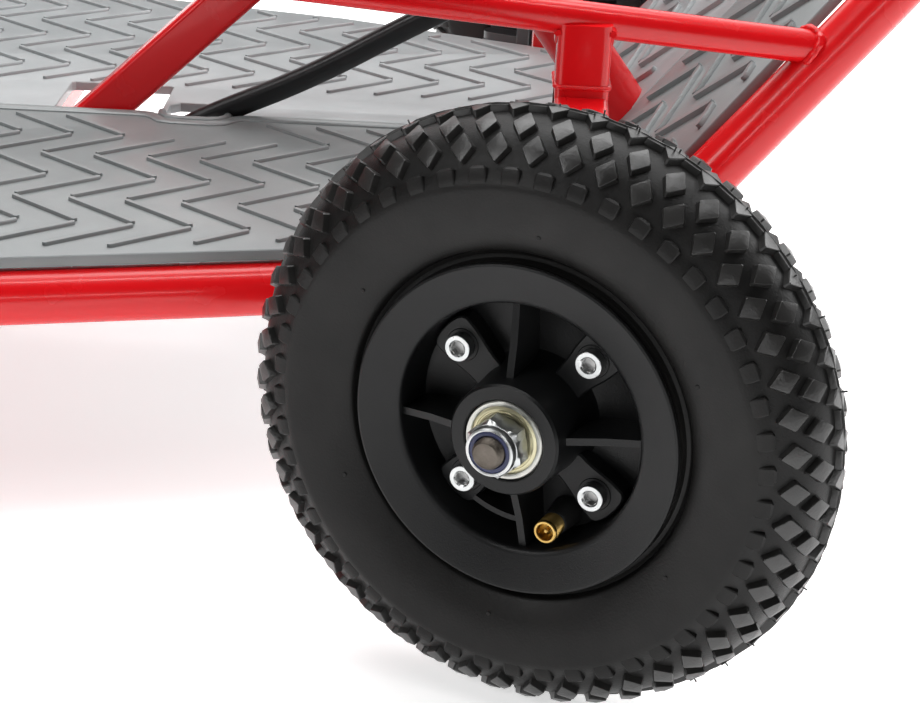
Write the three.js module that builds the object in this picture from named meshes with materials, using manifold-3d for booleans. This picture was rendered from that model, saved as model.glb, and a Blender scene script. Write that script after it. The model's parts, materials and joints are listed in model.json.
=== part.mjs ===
// Rolling chassis of a small four-wheel cart: tubular frame, ribbed floor, steered front wheels.
// Millimetres. +X is forward, +Y is the cart's left, +Z is up and z = 0 is the ground.
// The front wheels are drawn steered to the right, as the cart stands.
import * as THREE from 'three';
import { mergeVertices } from 'three/addons/utils/BufferGeometryUtils.js';
import Module from 'manifold-3d';

const wasm = await Module();
wasm.setup();

const GAP = 0.3;                       // clearance kept between touching pieces
const FAR = 500;                       // reach of a cutting tool that goes right through
const RIGHT = -1;
const LEFT = 1;
const rad = THREE.MathUtils.degToRad;

// Running gear
const WHEEL_RADIUS = 100;
const AXLE_HEIGHT = 100;
const KINGPIN_X = 330;
const KINGPIN_Y = 271.1;
const KINGPIN_TO_WHEEL = 45;           // from the kingpin's axis to the tyre's middle plane
const REAR_AXLE_X = -390;
const REAR_WHEEL_Y = 312;
const REST_STEER = rad(-24.6);         // turned to the right
const AXLE_R = 5;
const SHOULDER_R = 8;                  // step on the axle that the inner bearing stands against

// Floor
const FLOOR_TOP = 106;
const FLOOR_THICK = 4;
const FLOOR_REAR_X = -372;
const FOLD_X = 345.3;                  // where the floor turns up into the foot plate
const FOLD_ANGLE = rad(50);
const FOOT_PLATE_LENGTH = 150;
const FLOOR_SEAM_Y = -12;              // the two floor halves meet here
const FLOOR_HALF_WIDTH = [             // [x, half width]: the floor narrows towards the front
  [-400, 245], [-20, 245], [216.6, 186.6], [345, 134], [470, 103],
];
const BRACE_HOLE = { x: [100, 147], y: [-13, 34] };
const CABLE_SLOT = { x: [150, 176], y: [-22, 6] };

// Frame tubes
const RAIL_R = 10.5;
const RAIL_Z = 90;
const GUARD_R = 6.5;
const SQUARE = 20;                     // square tube of the arms, posts and cross member
const BRACE_WIDTH = 18;
const BEAM = 26;
const RAIL_PATH = [                    // right-hand lower rail, from the rear beam to the nose
  [-376.7, -243, RAIL_Z], [-20, -243, RAIL_Z], [216.6, -184.4, RAIL_Z], [346, -142, RAIL_Z],
  [382, -136, 130.5], [427, -128, 181.7], [462, -121.5, 222],
];
const NOSE_CORNER_X = 488;
const GUARD_PATH = [                   // right-hand upper tube, from the rising rail to the rear beam
  [423.7, -128.6, 177.8], [325.6, -157, 191.5], [181.3, -198, 212], [-20, -248, 224],
  [-330, -248, 224], [-390, -248, 170], [-390, -248, 113.5],
];

// Steering column: its axis leans back from the foot plate
const COLUMN_FOOT = new THREE.Vector3(350.6, 0, 117);
const COLUMN_LEAN = rad(53.5);         // above horizontal
const COLUMN_R = 13;
const COLUMN_BORE_R = 9.6;
const SHAFT_R = 9;
const COLUMN_LENGTH = 400;
const COLUMN_BELOW = 12;               // the housing reaches this far below its foot point
const SHAFT_TOP = COLUMN_LENGTH + 6;
const HANDLEBAR_HALF = 230;
const GRIP_LENGTH = 105;
const STEER_ARM = 35;                  // knuckle arms and the shaft's arm are equally long
const TIE_ROD_Z = 70;
const TIE_ROD_R = 4;
const BRACE_DECK_X = 122.9;            // where the brace's axis passes the floor's top
const BRACE_LEAN = rad(43.5);
const BRACE_ENDS = [-56, 215];         // along its axis from there, before it is coped

const finish = {
  paint: new THREE.MeshStandardMaterial({ color: 0xd01820, roughness: 0.3, metalness: 0.1 }),
  black: new THREE.MeshStandardMaterial({ color: 0x161616, roughness: 0.4, metalness: 0.2 }),
  floor: new THREE.MeshStandardMaterial({ color: 0x9aa3a5, roughness: 0.5, metalness: 0.1 }),
  tyre: new THREE.MeshStandardMaterial({ color: 0x2b2b2b, roughness: 0.8, metalness: 0 }),
  tube: new THREE.MeshStandardMaterial({ color: 0x151515, roughness: 0.9, metalness: 0 }),
  rim: new THREE.MeshStandardMaterial({ color: 0x202224, roughness: 0.55, metalness: 0 }),
  zinc: new THREE.MeshStandardMaterial({ color: 0xc4c8c8, roughness: 0.3, metalness: 1 }),
  steel: new THREE.MeshStandardMaterial({ color: 0x6e7072, roughness: 0.4, metalness: 1 }),
  brass: new THREE.MeshStandardMaterial({ color: 0xb08a3c, roughness: 0.35, metalness: 1 }),
  rubber: new THREE.MeshStandardMaterial({ color: 0x141414, roughness: 0.7, metalness: 0 }),
};

// ---------- geometry helpers ----------

function solid(geometry) {
  const bare = geometry.clone();
  bare.deleteAttribute('normal');
  bare.deleteAttribute('uv');
  const merged = mergeVertices(bare, 1e-4);
  return new wasm.Manifold(new wasm.Mesh({
    numProp: 3,
    vertProperties: new Float32Array(merged.attributes.position.array),
    triVerts: new Uint32Array(merged.index.array),
  }));
}

function geometryOf(manifold) {
  const mesh = manifold.getMesh();
  const geometry = new THREE.BufferGeometry();
  geometry.setAttribute('position', new THREE.BufferAttribute(new Float32Array(mesh.vertProperties), 3));
  geometry.setIndex(new THREE.BufferAttribute(new Uint32Array(mesh.triVerts), 1));
  geometry.computeVertexNormals();
  return geometry;
}

function join(...geometries) {
  return geometryOf(geometries.map(solid).reduce((whole, piece) => whole.add(piece)));
}

function cut(geometry, ...tools) {
  return geometryOf(tools.map(solid).reduce((whole, tool) => whole.subtract(tool), solid(geometry)));
}

function keep(geometry, region) {
  return geometryOf(solid(geometry).intersect(solid(region)));
}

function box(x, y, z) {
  const geometry = new THREE.BoxGeometry(x[1] - x[0], y[1] - y[0], z[1] - z[0]);
  return geometry.translate((x[0] + x[1]) / 2, (y[0] + y[1]) / 2, (z[0] + z[1]) / 2);
}

// A y range on one side of the cart: side * near is the end next to the middle.
function across(side, near, far) {
  return side > 0 ? [near, far] : [-far, -near];
}

// A ring or disc about Z, from a [radius, z] outline taken anticlockwise in the r-z plane.
function turned(outline, segments = 18) {
  const profile = outline.map(([r, z]) => new THREE.Vector2(r, z));
  profile.push(profile[0].clone());
  return new THREE.LatheGeometry(profile, segments).rotateX(Math.PI / 2);
}

function ring(inner, outer, z, segments = 16) {
  return turned([[inner, z[0]], [outer, z[0]], [outer, z[1]], [inner, z[1]]], segments);
}

function rod(radius, z, segments = 12) {
  const geometry = new THREE.CylinderGeometry(radius, radius, z[1] - z[0], segments);
  return geometry.rotateX(Math.PI / 2).translate(0, 0, (z[0] + z[1]) / 2);
}

// A cylinder or ring drawn about Z, turned to lie along `direction` at `point`.
function along(geometry, point, direction) {
  const turn = new THREE.Quaternion().setFromUnitVectors(
    new THREE.Vector3(0, 0, 1), direction.clone().normalize());
  return geometry.applyQuaternion(turn).translate(point.x, point.y, point.z);
}

function prism(points, depth) {
  const shape = new THREE.Shape(points.map(([x, y]) => new THREE.Vector2(x, y)));
  return new THREE.ExtrudeGeometry(shape, { depth, bevelEnabled: false });
}

function hexagon(acrossFlats, z) {
  const corner = acrossFlats / Math.sqrt(3);
  return rod(corner, z, 6);
}

// A route of straight runs joined by bends. Samples sit at the ends of each run and along each bend.
class BentRoute extends THREE.Curve {
  constructor(points, bend, bendSteps) {
    super();
    const corners = points.map((p) => new THREE.Vector3(...p));
    this.samples = [corners[0]];
    for (let i = 1; i < corners.length - 1; i++) {
      const before = corners[i - 1].clone().sub(corners[i]);
      const after = corners[i + 1].clone().sub(corners[i]);
      const reach = Math.min(bend, 0.45 * before.length(), 0.45 * after.length());
      const from = corners[i].clone().add(before.setLength(reach));
      const to = corners[i].clone().add(after.setLength(reach));
      const curve = new THREE.QuadraticBezierCurve3(from, corners[i], to);
      for (let k = 0; k <= bendSteps; k++) this.samples.push(curve.getPoint(k / bendSteps));
    }
    this.samples.push(corners[corners.length - 1]);
    this.steps = this.samples.length - 1;
  }

  getPoint(t) {
    return this.samples[Math.round(t * this.steps)].clone();
  }

  getPointAt(t) {
    return this.getPoint(t);
  }

  getTangentAt(t) {
    const i = Math.round(t * this.steps);
    const before = this.samples[Math.max(i - 1, 0)];
    const after = this.samples[Math.min(i + 1, this.steps)];
    const here = this.samples[i];
    const incoming = here.clone().sub(before).normalize();
    const outgoing = after.clone().sub(here).normalize();
    return incoming.add(outgoing).normalize();
  }
}

function tubeAlong(points, radius, { bend = 40, sides = 12, bendSteps = 2 } = {}) {
  const section = new THREE.Shape();
  for (let i = 0; i < sides; i++) {
    const a = (2 * Math.PI * i) / sides;
    const x = radius * Math.cos(a);
    const y = radius * Math.sin(a);
    if (i === 0) section.moveTo(x, y);
    else section.lineTo(x, y);
  }
  section.closePath();
  const route = new BentRoute(points, bend, bendSteps);
  return new THREE.ExtrudeGeometry(section, { steps: route.steps, extrudePath: route, bevelEnabled: false });
}

const mirrored = (points) => points.map(([x, y, z]) => [x, -y, z]);

function part(group, name, geometry, material) {
  const mesh = new THREE.Mesh(geometry, material);
  mesh.name = name;
  group.add(mesh);
  return mesh;
}

const cart = new THREE.Group();

// ---------- wheels: drawn about Z, with +Z outboard and z = 0 in the tyre's middle plane ----------

const TYRE_SECTION_R = 22;
const TYRE_HALF_WIDTH = 23.5;
const TYRE_WALL = 4;
const BEAD_R = 50.2;
const HUB_OUTER_FACE = 28.5;
const HUB_INNER_FACE = 26;
const HUB_R = 18.1;
const SPACER_BORE_R = 10.5;
const DISH_FLOOR = 3;
const DISH_WALL_R = 40.2;
const SCREW_CIRCLE_R = 31.5;
const SCREW_ANGLES = [50, 140, 230, 320].map(rad);
const SCREW_HEAD_R = 4.2;
const SCREW_R = 2.5;
const WEB_FACE = 9;                    // top of the pads that the screw heads bear on
const PAD_HALF = 7;
const RIB_HALF = 1.2;
const RIB_TOP = 16;
const BEARING_R = 13;
const BEARING_WIDTH = 8;
const SPACER_R = 7.5;
const AXLE_END = 41.7;
const TYRE_SEGMENTS = 24;
const RIM_SEGMENTS = 16;

function tyreGeometry() {
  const middle = WHEEL_RADIUS - TYRE_SECTION_R;
  const arc = (count, inset) => Array.from({ length: count + 1 }, (_, k) => {
    const a = rad(-140) + (rad(280) * k) / count;
    const r = middle + (TYRE_SECTION_R - inset) * Math.cos(a);
    return [r, (TYRE_HALF_WIDTH - inset) * Math.sin(a)];
  });
  const outside = arc(8, 0);
  const inside = arc(5, TYRE_WALL).reverse();
  return turned([
    [BEAD_R, -9], [BEAD_R, -16.8], [56.5, -17.5], ...outside, [56.5, 17.5], [BEAD_R, 16.8], [BEAD_R, 9],
    [58, 11], ...inside, [58, -11],
  ], TYRE_SEGMENTS);
}

function innerTubeGeometry() {
  const middle = WHEEL_RADIUS - TYRE_SECTION_R;
  const count = 8;
  const outline = Array.from({ length: count }, (_, k) => {
    const a = (2 * Math.PI * k) / count;
    return [middle - 1 + 14 * Math.cos(a), 14.5 * Math.sin(a)];
  });
  return turned(outline, TYRE_SEGMENTS);
}

// One moulded half of the split rim, from the middle plane out to its hub face: a dish between the
// hub and the wall, with a pad under each screw and a rib between the pads.
function rimHalf(hubFace) {
  const seat = hubFace - BEARING_WIDTH - GAP;
  const dish = turned([
    [SPACER_BORE_R, GAP / 2], [46.5, GAP / 2], [49.2, 4], [49.6, 17], [54.4, 18.6], [54.7, 21.4], [41.4, 18],
    [DISH_WALL_R, DISH_FLOOR], [HUB_R + 1, DISH_FLOOR], [HUB_R, hubFace], [BEARING_R + GAP, hubFace],
    [BEARING_R + GAP, seat], [SPACER_BORE_R, seat],
  ], RIM_SEGMENTS);
  const radial = [HUB_R - 2, DISH_WALL_R + 1];
  const pads = SCREW_ANGLES.map((a) => (
    box(radial, [-PAD_HALF, PAD_HALF], [DISH_FLOOR - 1, WEB_FACE]).rotateZ(a)));
  const ribs = SCREW_ANGLES.map((a) => (
    box(radial, [-RIB_HALF, RIB_HALF], [DISH_FLOOR - 1, RIB_TOP]).rotateZ(a + Math.PI / 4)));
  return join(dish, ...pads, ...ribs);
}

function onScrewCircle(make) {
  return SCREW_ANGLES.map((a, i) => make(SCREW_CIRCLE_R * Math.cos(a), SCREW_CIRCLE_R * Math.sin(a), i + 1));
}

const NUT_FLATS = 17;
const NUT_COLLAR_R = 8.2;
const NUT_Z = [29.8, 36.6, 38.6];      // foot, top of the hexagon, top of the collar
const VALVE_ANGLE = rad(-68.7);
const VALVE_CIRCLE_R = 34.3;
const VALVE_R = 3.85;
const VALVE_TIP = 20;

function nutGeometry() {
  const body = hexagon(NUT_FLATS, [NUT_Z[0], NUT_Z[1]]);
  const collar = rod(NUT_COLLAR_R, [NUT_Z[1] - 0.6, NUT_Z[2]], 16);
  return cut(join(body, collar), rod(AXLE_R + GAP, [-FAR, FAR]));
}

function addWheel(place, position, side, complete) {
  const wheel = new THREE.Group();
  wheel.rotation.x = (-side * Math.PI) / 2;
  const holder = new THREE.Group();
  holder.position.copy(position.at);
  holder.rotation.z = position.turn;
  holder.add(wheel);
  cart.add(holder);

  let outer = rimHalf(HUB_OUTER_FACE);
  let inner = rimHalf(HUB_INNER_FACE).rotateX(Math.PI);
  const valveX = VALVE_CIRCLE_R * Math.cos(VALVE_ANGLE);
  const valveY = VALVE_CIRCLE_R * Math.sin(VALVE_ANGLE);
  outer = cut(outer, rod(VALVE_R + GAP, [-FAR, FAR]).translate(valveX, valveY, 0));
  if (complete) {
    const holes = onScrewCircle((x, y) => rod(SCREW_R + GAP, [-FAR, FAR], 8).translate(x, y, 0));
    outer = cut(outer, ...holes);
    inner = cut(inner, ...holes);
    part(wheel, `inner_tube_${place}`, innerTubeGeometry(), finish.tube);
    onScrewCircle((x, y, number) => {
      const screw = join(
        rod(SCREW_HEAD_R, [WEB_FACE + GAP, WEB_FACE + 4.6]), rod(SCREW_R, [1 - WEB_FACE, WEB_FACE + 1], 8));
      part(wheel, `rim_screw_${place}_${number}`, screw.translate(x, y, 0), finish.zinc);
    });
    const bearing = ring(AXLE_R + GAP, BEARING_R, [0, BEARING_WIDTH - 0.2]);
    part(wheel, `bearing_outer_${place}`,
      bearing.clone().translate(0, 0, HUB_OUTER_FACE - BEARING_WIDTH), finish.steel);
    part(wheel, `bearing_inner_${place}`,
      bearing.clone().translate(0, 0, -HUB_INNER_FACE + 0.2), finish.steel);
    const spacerEnds = [-HUB_INNER_FACE + BEARING_WIDTH + GAP, HUB_OUTER_FACE - BEARING_WIDTH - GAP];
    part(wheel, `hub_spacer_${place}`, ring(AXLE_R + GAP, SPACER_R, spacerEnds, 12), finish.steel);
  }
  part(wheel, `tyre_${place}`, tyreGeometry(), finish.tyre);
  part(wheel, `rim_outer_${place}`, outer, finish.rim);
  part(wheel, `rim_inner_${place}`, inner, finish.rim);
  part(wheel, `valve_${place}`, rod(VALVE_R, [1, VALVE_TIP]).translate(valveX, valveY, 0), finish.brass);
  part(wheel, `axle_nut_${place}`, nutGeometry(), finish.zinc);
}

const kingpinAt = (side) => new THREE.Vector3(KINGPIN_X, side * KINGPIN_Y, AXLE_HEIGHT);

function frontWheelPlace(side) {
  const offset = new THREE.Vector3(0, side * KINGPIN_TO_WHEEL, 0);
  offset.applyAxisAngle(new THREE.Vector3(0, 0, 1), REST_STEER);
  return { at: kingpinAt(side).add(offset), turn: REST_STEER };
}

function rearWheelPlace(side) {
  return { at: new THREE.Vector3(REAR_AXLE_X, side * REAR_WHEEL_Y, AXLE_HEIGHT), turn: 0 };
}

addWheel('front_right', frontWheelPlace(RIGHT), RIGHT, true);
addWheel('front_left', frontWheelPlace(LEFT), LEFT, false);
addWheel('rear_right', rearWheelPlace(RIGHT), RIGHT, false);
addWheel('rear_left', rearWheelPlace(LEFT), LEFT, false);

// ---------- steering knuckles: drawn straight ahead about the kingpin, z = 0 at the axle ----------

const HOUSING_R = 11.5;
const HOUSING_Z = [-3.7, 48.2];
const EAR_THICK = 5.5;
const KINGPIN_FLATS = 16;
const WEB = [13.5, 18];                // the plate that joins the ears, from the kingpin outwards
const EAR_HALF = 12;
const STUD_R = 3;
const ARM_PLATE = 4.5;                 // thickness of the knuckle's steering arm
const ARM_TIP_R = 7;

function knuckleGeometry(side) {
  const lowerEar = [HOUSING_Z[0] - GAP - EAR_THICK, HOUSING_Z[0] - GAP];
  const upperEar = [HOUSING_Z[1] + GAP, HOUSING_Z[1] + GAP + EAR_THICK];
  const armTop = TIE_ROD_Z - AXLE_HEIGHT + 10;
  const outward = new THREE.Vector3(0, side, 0);
  const origin = new THREE.Vector3();
  const armFaces = [armTop - ARM_PLATE, armTop];
  const earSpan = [-EAR_HALF, EAR_HALF];
  const studEnd = armTop - 17.5;
  const body = join(
    box(earSpan, across(side, WEB[0], WEB[1]), [lowerEar[0], upperEar[1]]),
    box(earSpan, across(side, -EAR_HALF, WEB[1] - 1), lowerEar),
    box(earSpan, across(side, -EAR_HALF, WEB[1] - 1), upperEar),
    along(rod(SHOULDER_R, [WEB[1] - 1, WEB[1] + 0.9]), origin, outward),
    along(rod(AXLE_R, [WEB[1] - 1, KINGPIN_TO_WHEEL + AXLE_END]), origin, outward),
    box([-EAR_HALF - 7, 1 - EAR_HALF], [-8, 8], [armFaces[0], lowerEar[1]]),
    box([-STEER_ARM, -15], [-ARM_TIP_R, ARM_TIP_R], armFaces),
    rod(ARM_TIP_R, armFaces).translate(-STEER_ARM, 0, 0),
    rod(STUD_R, [studEnd, armTop - 4]).translate(-STEER_ARM, 0, 0),
    rod(5.2, [studEnd - 2, studEnd + 0.5]).translate(-STEER_ARM, 0, 0));
  return cut(body, rod(AXLE_R + GAP, [-FAR, FAR]));
}

function addKnuckle(side, name) {
  const group = new THREE.Group();
  group.position.copy(kingpinAt(side));
  group.rotation.z = REST_STEER;
  cart.add(group);
  part(group, `knuckle_${name}`, knuckleGeometry(side), finish.black);
}

// The kingpin bolt stays with the axle arm: a shank through both ears, a head on top, a nut below.
function addKingpinBolt(side, name) {
  const top = HOUSING_Z[1] + EAR_THICK + 2 * GAP;
  const bottom = HOUSING_Z[0] - EAR_THICK - 2 * GAP;
  const bolt = join(
    rod(AXLE_R, [bottom - 10, top + 1]),
    hexagon(KINGPIN_FLATS, [top, top + 6.4]),
    hexagon(KINGPIN_FLATS, [bottom - 8, bottom]));
  const at = kingpinAt(side);
  part(cart, `kingpin_bolt_${name}`, bolt.translate(at.x, at.y, at.z), finish.zinc);
}

for (const [side, name] of [[RIGHT, 'right'], [LEFT, 'left']]) {
  addKnuckle(side, name);
  addKingpinBolt(side, name);
}

// ---------- frame ----------

const ARM_X = KINGPIN_X - 4.5;         // the post and the arm stand a little behind the kingpin
const ARM_Y = [HOUSING_R - 2, 124.5];  // from the kingpin, inboard
const ARM_TOP = 168;
const ARM_DROP = 24;                   // the arm falls this far towards the wheel
const POST_TOP = 194;
const POST_Y = 156.6;
const CROSS_MEMBER_X = [62, 82];
const CROSS_MEMBER_Z = [64, 84];
const CROSS_MEMBER_HALF = 205;

// The bent tubes of one side, or with `grown` the clearance that a coped neighbour leaves round them.
function railTube(side, grown = 0) {
  return tubeAlong(side > 0 ? mirrored(RAIL_PATH) : RAIL_PATH, RAIL_R + grown, { bend: 30 });
}

function guardTube(side, grown = 0) {
  return tubeAlong(side > 0 ? mirrored(GUARD_PATH) : GUARD_PATH, GUARD_R + grown, { bend: 55, sides: 9 });
}

// A [y, z] outline spread along X.
function ribAlongX(outline, x) {
  const geometry = prism(outline, x[1] - x[0]);
  return geometry.rotateX(Math.PI / 2).rotateZ(Math.PI / 2).translate(x[0], 0, 0);
}

// A [x, z] outline spread along Y.
function ribAlongY(outline, y) {
  const geometry = prism(outline, y[1] - y[0]);
  return geometry.rotateX(Math.PI / 2).translate(0, y[1], 0);
}

const ARM_SPAN = [ARM_X - SQUARE / 2, ARM_X + SQUARE / 2];

// Kingpin housing, the arm that carries it and the stub that stands on the rail: one weldment.
function axleArmGeometry(side) {
  const at = kingpinAt(side);
  const y = (inboard) => side * (KINGPIN_Y - inboard);
  const arm = ribAlongX([
    [y(ARM_Y[0]), ARM_TOP - ARM_DROP - SQUARE], [y(ARM_Y[1]), ARM_TOP - SQUARE], [y(ARM_Y[1]), ARM_TOP],
    [y(ARM_Y[1] - SQUARE - 4), ARM_TOP], [y(ARM_Y[0]), ARM_TOP - ARM_DROP],
  ], ARM_SPAN);
  const riserEnds = [y(ARM_Y[1] - SQUARE), y(ARM_Y[1])].sort((a, b) => a - b);
  const riser = box(ARM_SPAN, riserEnds, [RAIL_Z, ARM_TOP - SQUARE / 2]);
  const housing = rod(HOUSING_R, HOUSING_Z, 16).translate(at.x, at.y, at.z);
  const bore = rod(AXLE_R + GAP, [-FAR, FAR]).translate(at.x, at.y, 0);
  return largest(cut(join(housing, arm, riser), bore, railTube(side, GAP)));
}

// Upright between the arm and the upper tube; its top is coped to the tube.
function postGeometry(side) {
  const y = [side * (POST_Y - SQUARE / 2), side * (POST_Y + SQUARE / 2)].sort((a, b) => a - b);
  const post = box(ARM_SPAN, y, [ARM_TOP + GAP, POST_TOP]);
  return largest(cut(post, guardTube(side, GAP)));
}

const columnAxis = new THREE.Vector3(-Math.cos(COLUMN_LEAN), 0, Math.sin(COLUMN_LEAN));
const onColumn = (distance) => COLUMN_FOOT.clone().addScaledVector(columnAxis, distance);

// One floor half: a flat tray bent up into the foot plate, trimmed to the tapering outline.
function floorGeometry(side) {
  const rise = [FOOT_PLATE_LENGTH * Math.cos(FOLD_ANGLE), FOOT_PLATE_LENGTH * Math.sin(FOLD_ANGLE)];
  const under = [FLOOR_THICK * Math.sin(FOLD_ANGLE), FLOOR_THICK * Math.cos(FOLD_ANGLE)];
  const foldUnder = FOLD_X + FLOOR_THICK * Math.tan(FOLD_ANGLE / 2);
  const sheet = ribAlongY([
    [FLOOR_REAR_X, FLOOR_TOP], [FLOOR_REAR_X, FLOOR_TOP - FLOOR_THICK], [foldUnder, FLOOR_TOP - FLOOR_THICK],
    [FOLD_X + rise[0] + under[0], FLOOR_TOP + rise[1] - under[1]], [FOLD_X + rise[0], FLOOR_TOP + rise[1]],
    [FOLD_X, FLOOR_TOP],
  ], [-FAR, FAR]);
  const seam = FLOOR_SEAM_Y + (side * GAP) / 2;
  const ends = FLOOR_HALF_WIDTH.map(([x, width]) => [x, side * width]);
  const outline = [[ends[0][0], seam], ...ends, [ends[ends.length - 1][0], seam]];
  const plan = prism(outline, FAR);
  return largest(cut(keep(sheet, plan),
    railTube(side, GAP),
    box(BRACE_HOLE.x, BRACE_HOLE.y, [0, FAR]),
    box(CABLE_SLOT.x, CABLE_SLOT.y, [0, FAR]),
    along(rod(COLUMN_R + 1, [-FAR, FAR], 16), COLUMN_FOOT, columnAxis)));
}

function largest(geometry) {
  const pieces = solid(geometry).decompose();
  return geometryOf(pieces.reduce((best, piece) => (piece.volume() > best.volume() ? piece : best)));
}


function columnHousingGeometry() {
  return along(ring(COLUMN_BORE_R, COLUMN_R, [-COLUMN_BELOW, COLUMN_LENGTH], 18), COLUMN_FOOT, columnAxis);
}

// Square brace from the cross member under the floor up to the column housing.
function braceGeometry() {
  const bar = box([-BRACE_WIDTH / 2, BRACE_WIDTH / 2], [-SQUARE / 2, SQUARE / 2], BRACE_ENDS);
  bar.rotateY(Math.PI / 2 - BRACE_LEAN).translate(BRACE_DECK_X, 0, FLOOR_TOP);
  const housing = along(rod(COLUMN_R + GAP, [-FAR, FAR], 18), COLUMN_FOOT, columnAxis);
  return largest(cut(bar, housing, box([0, CROSS_MEMBER_X[1] + GAP], [-FAR, FAR], [0, CROSS_MEMBER_Z[1]])));
}

function nosePath() {
  const [x, y, z] = RAIL_PATH[RAIL_PATH.length - 1];
  const before = RAIL_PATH[RAIL_PATH.length - 2];
  const run = new THREE.Vector3(x - before[0], y - before[1], z - before[2]).normalize();
  const start = new THREE.Vector3(x, y, z).addScaledVector(run, GAP);
  const corner = start.clone().addScaledVector(run, (NOSE_CORNER_X - x) / run.x);
  return [start.toArray(), corner.toArray(), [corner.x, -corner.y, corner.z], [start.x, -start.y, start.z]];
}

for (const [side, name] of [[RIGHT, 'right'], [LEFT, 'left']]) {
  part(cart, `axle_arm_${name}`, axleArmGeometry(side), finish.paint);
  part(cart, `arm_post_${name}`, postGeometry(side), finish.paint);
  part(cart, `lower_rail_${name}`, railTube(side), finish.paint);
  part(cart, `upper_rail_${name}`, largest(cut(guardTube(side), railTube(side, GAP))), finish.paint);
  part(cart, `floor_${name}`, floorGeometry(side), finish.floor);
}
part(cart, 'nose_tube', tubeAlong(nosePath(), RAIL_R, { bend: 26 }), finish.paint);
part(cart, 'floor_cross_member',
  box(CROSS_MEMBER_X, [-CROSS_MEMBER_HALF, CROSS_MEMBER_HALF], CROSS_MEMBER_Z), finish.paint);
part(cart, 'column_housing', columnHousingGeometry(), finish.paint);
part(cart, 'column_brace', braceGeometry(), finish.paint);

// Rear beam between the rear wheels, with a threaded axle stub welded into each end.
const beamHalf = REAR_WHEEL_Y - HUB_INNER_FACE - 4;
const stubEnds = REAR_WHEEL_Y + AXLE_END;
part(cart, 'rear_axle_beam', join(
  box([REAR_AXLE_X - BEAM / 2, REAR_AXLE_X + BEAM / 2], [-beamHalf, beamHalf],
    [AXLE_HEIGHT - BEAM / 2, AXLE_HEIGHT + BEAM / 2]),
  rod(AXLE_R, [-stubEnds, stubEnds]).rotateX(Math.PI / 2).translate(REAR_AXLE_X, 0, AXLE_HEIGHT),
  rod(SHOULDER_R, [-beamHalf - 3, beamHalf + 3]).rotateX(Math.PI / 2).translate(REAR_AXLE_X, 0, AXLE_HEIGHT),
), finish.paint);

// ---------- steering: drawn about the column's axis, +Z up the column, arm towards -X ----------

const ARM_LEVEL = -30;                 // the shaft's arm, measured along the column from its foot
const SHAFT_ARM_THICK = 5;
const SHAFT_BOSS_R = 12;
const EYE_THICK = 8.4;
const EYE_SPACING = EYE_THICK + 2;     // the two tie rods' eyes sit one above the other on the stud
const EYE_PLAY = 2.2;                  // endwise play of the tie-rod eyes on the arm's stud
const EYE_BORE_R = 4.8;
const EYE_R = 9.5;
const KNUCKLE_EYE_R = 8;
const KNUCKLE_EYE_HALF = 4;

const steering = new THREE.Group();
steering.position.copy(COLUMN_FOOT);
steering.rotation.set(0, -(Math.PI / 2 - COLUMN_LEAN), 0);
const steeringTurn = new THREE.Group();
steeringTurn.rotation.z = REST_STEER;
steering.add(steeringTurn);
cart.add(steering);

const studLength = EYE_PLAY * 2 + EYE_THICK + EYE_SPACING;
const armFaces = [ARM_LEVEL - SHAFT_ARM_THICK / 2, ARM_LEVEL + SHAFT_ARM_THICK / 2];

part(steeringTurn, 'steering_shaft', join(
  rod(SHAFT_R, [armFaces[0], SHAFT_TOP], 16),
  rod(SHAFT_BOSS_R, armFaces, 16),
  box([-STEER_ARM, 0], [-ARM_TIP_R, ARM_TIP_R], armFaces),
  rod(ARM_TIP_R, armFaces).translate(-STEER_ARM, 0, 0),
  rod(STUD_R, [armFaces[0] - studLength, ARM_LEVEL]).translate(-STEER_ARM, 0, 0),
  rod(ARM_TIP_R, [armFaces[0] - studLength - 2.5, armFaces[0] - studLength]).translate(-STEER_ARM, 0, 0),
), finish.zinc);

const BAR_LEVEL = COLUMN_LENGTH + 24;
const BAR_RISE = 34;                   // the grips stand this far above the bar's middle
const BAR_R = 11;
const BAR_BENDS = [62, 96];            // where the rise starts and ends, from the middle
const gripLevel = BAR_LEVEL + BAR_RISE;
const barPath = [
  [0, -HANDLEBAR_HALF, gripLevel], [0, -BAR_BENDS[1], gripLevel], [0, -BAR_BENDS[0], BAR_LEVEL],
  [0, BAR_BENDS[0], BAR_LEVEL], [0, BAR_BENDS[1], gripLevel], [0, HANDLEBAR_HALF, gripLevel],
];
const stem = rod(COLUMN_R, [SHAFT_TOP + GAP, BAR_LEVEL]);
part(steeringTurn, 'handlebar', join(tubeAlong(barPath, BAR_R, { bend: 22 }), stem), finish.paint);

// A rubber grip with a flange at its inner end and a closed outer end.
function gripGeometry() {
  const outer = BAR_R + 3.5;
  const flange = BAR_R + 6;
  const end = GRIP_LENGTH + 3;
  return turned([
    [BAR_R + GAP, 0], [flange, 0], [flange, 4], [outer, 5], [outer, GRIP_LENGTH], [0, end], [0, end - 6],
    [BAR_R + GAP, end - 6],
  ], 14);
}

for (const [side, name] of [[RIGHT, 'right'], [LEFT, 'left']]) {
  const grip = gripGeometry().rotateX((-side * Math.PI) / 2);
  grip.translate(0, side * (HANDLEBAR_HALF - GRIP_LENGTH + 4), gripLevel);
  part(steeringTurn, `grip_${name}`, grip, finish.rubber);
}

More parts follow.
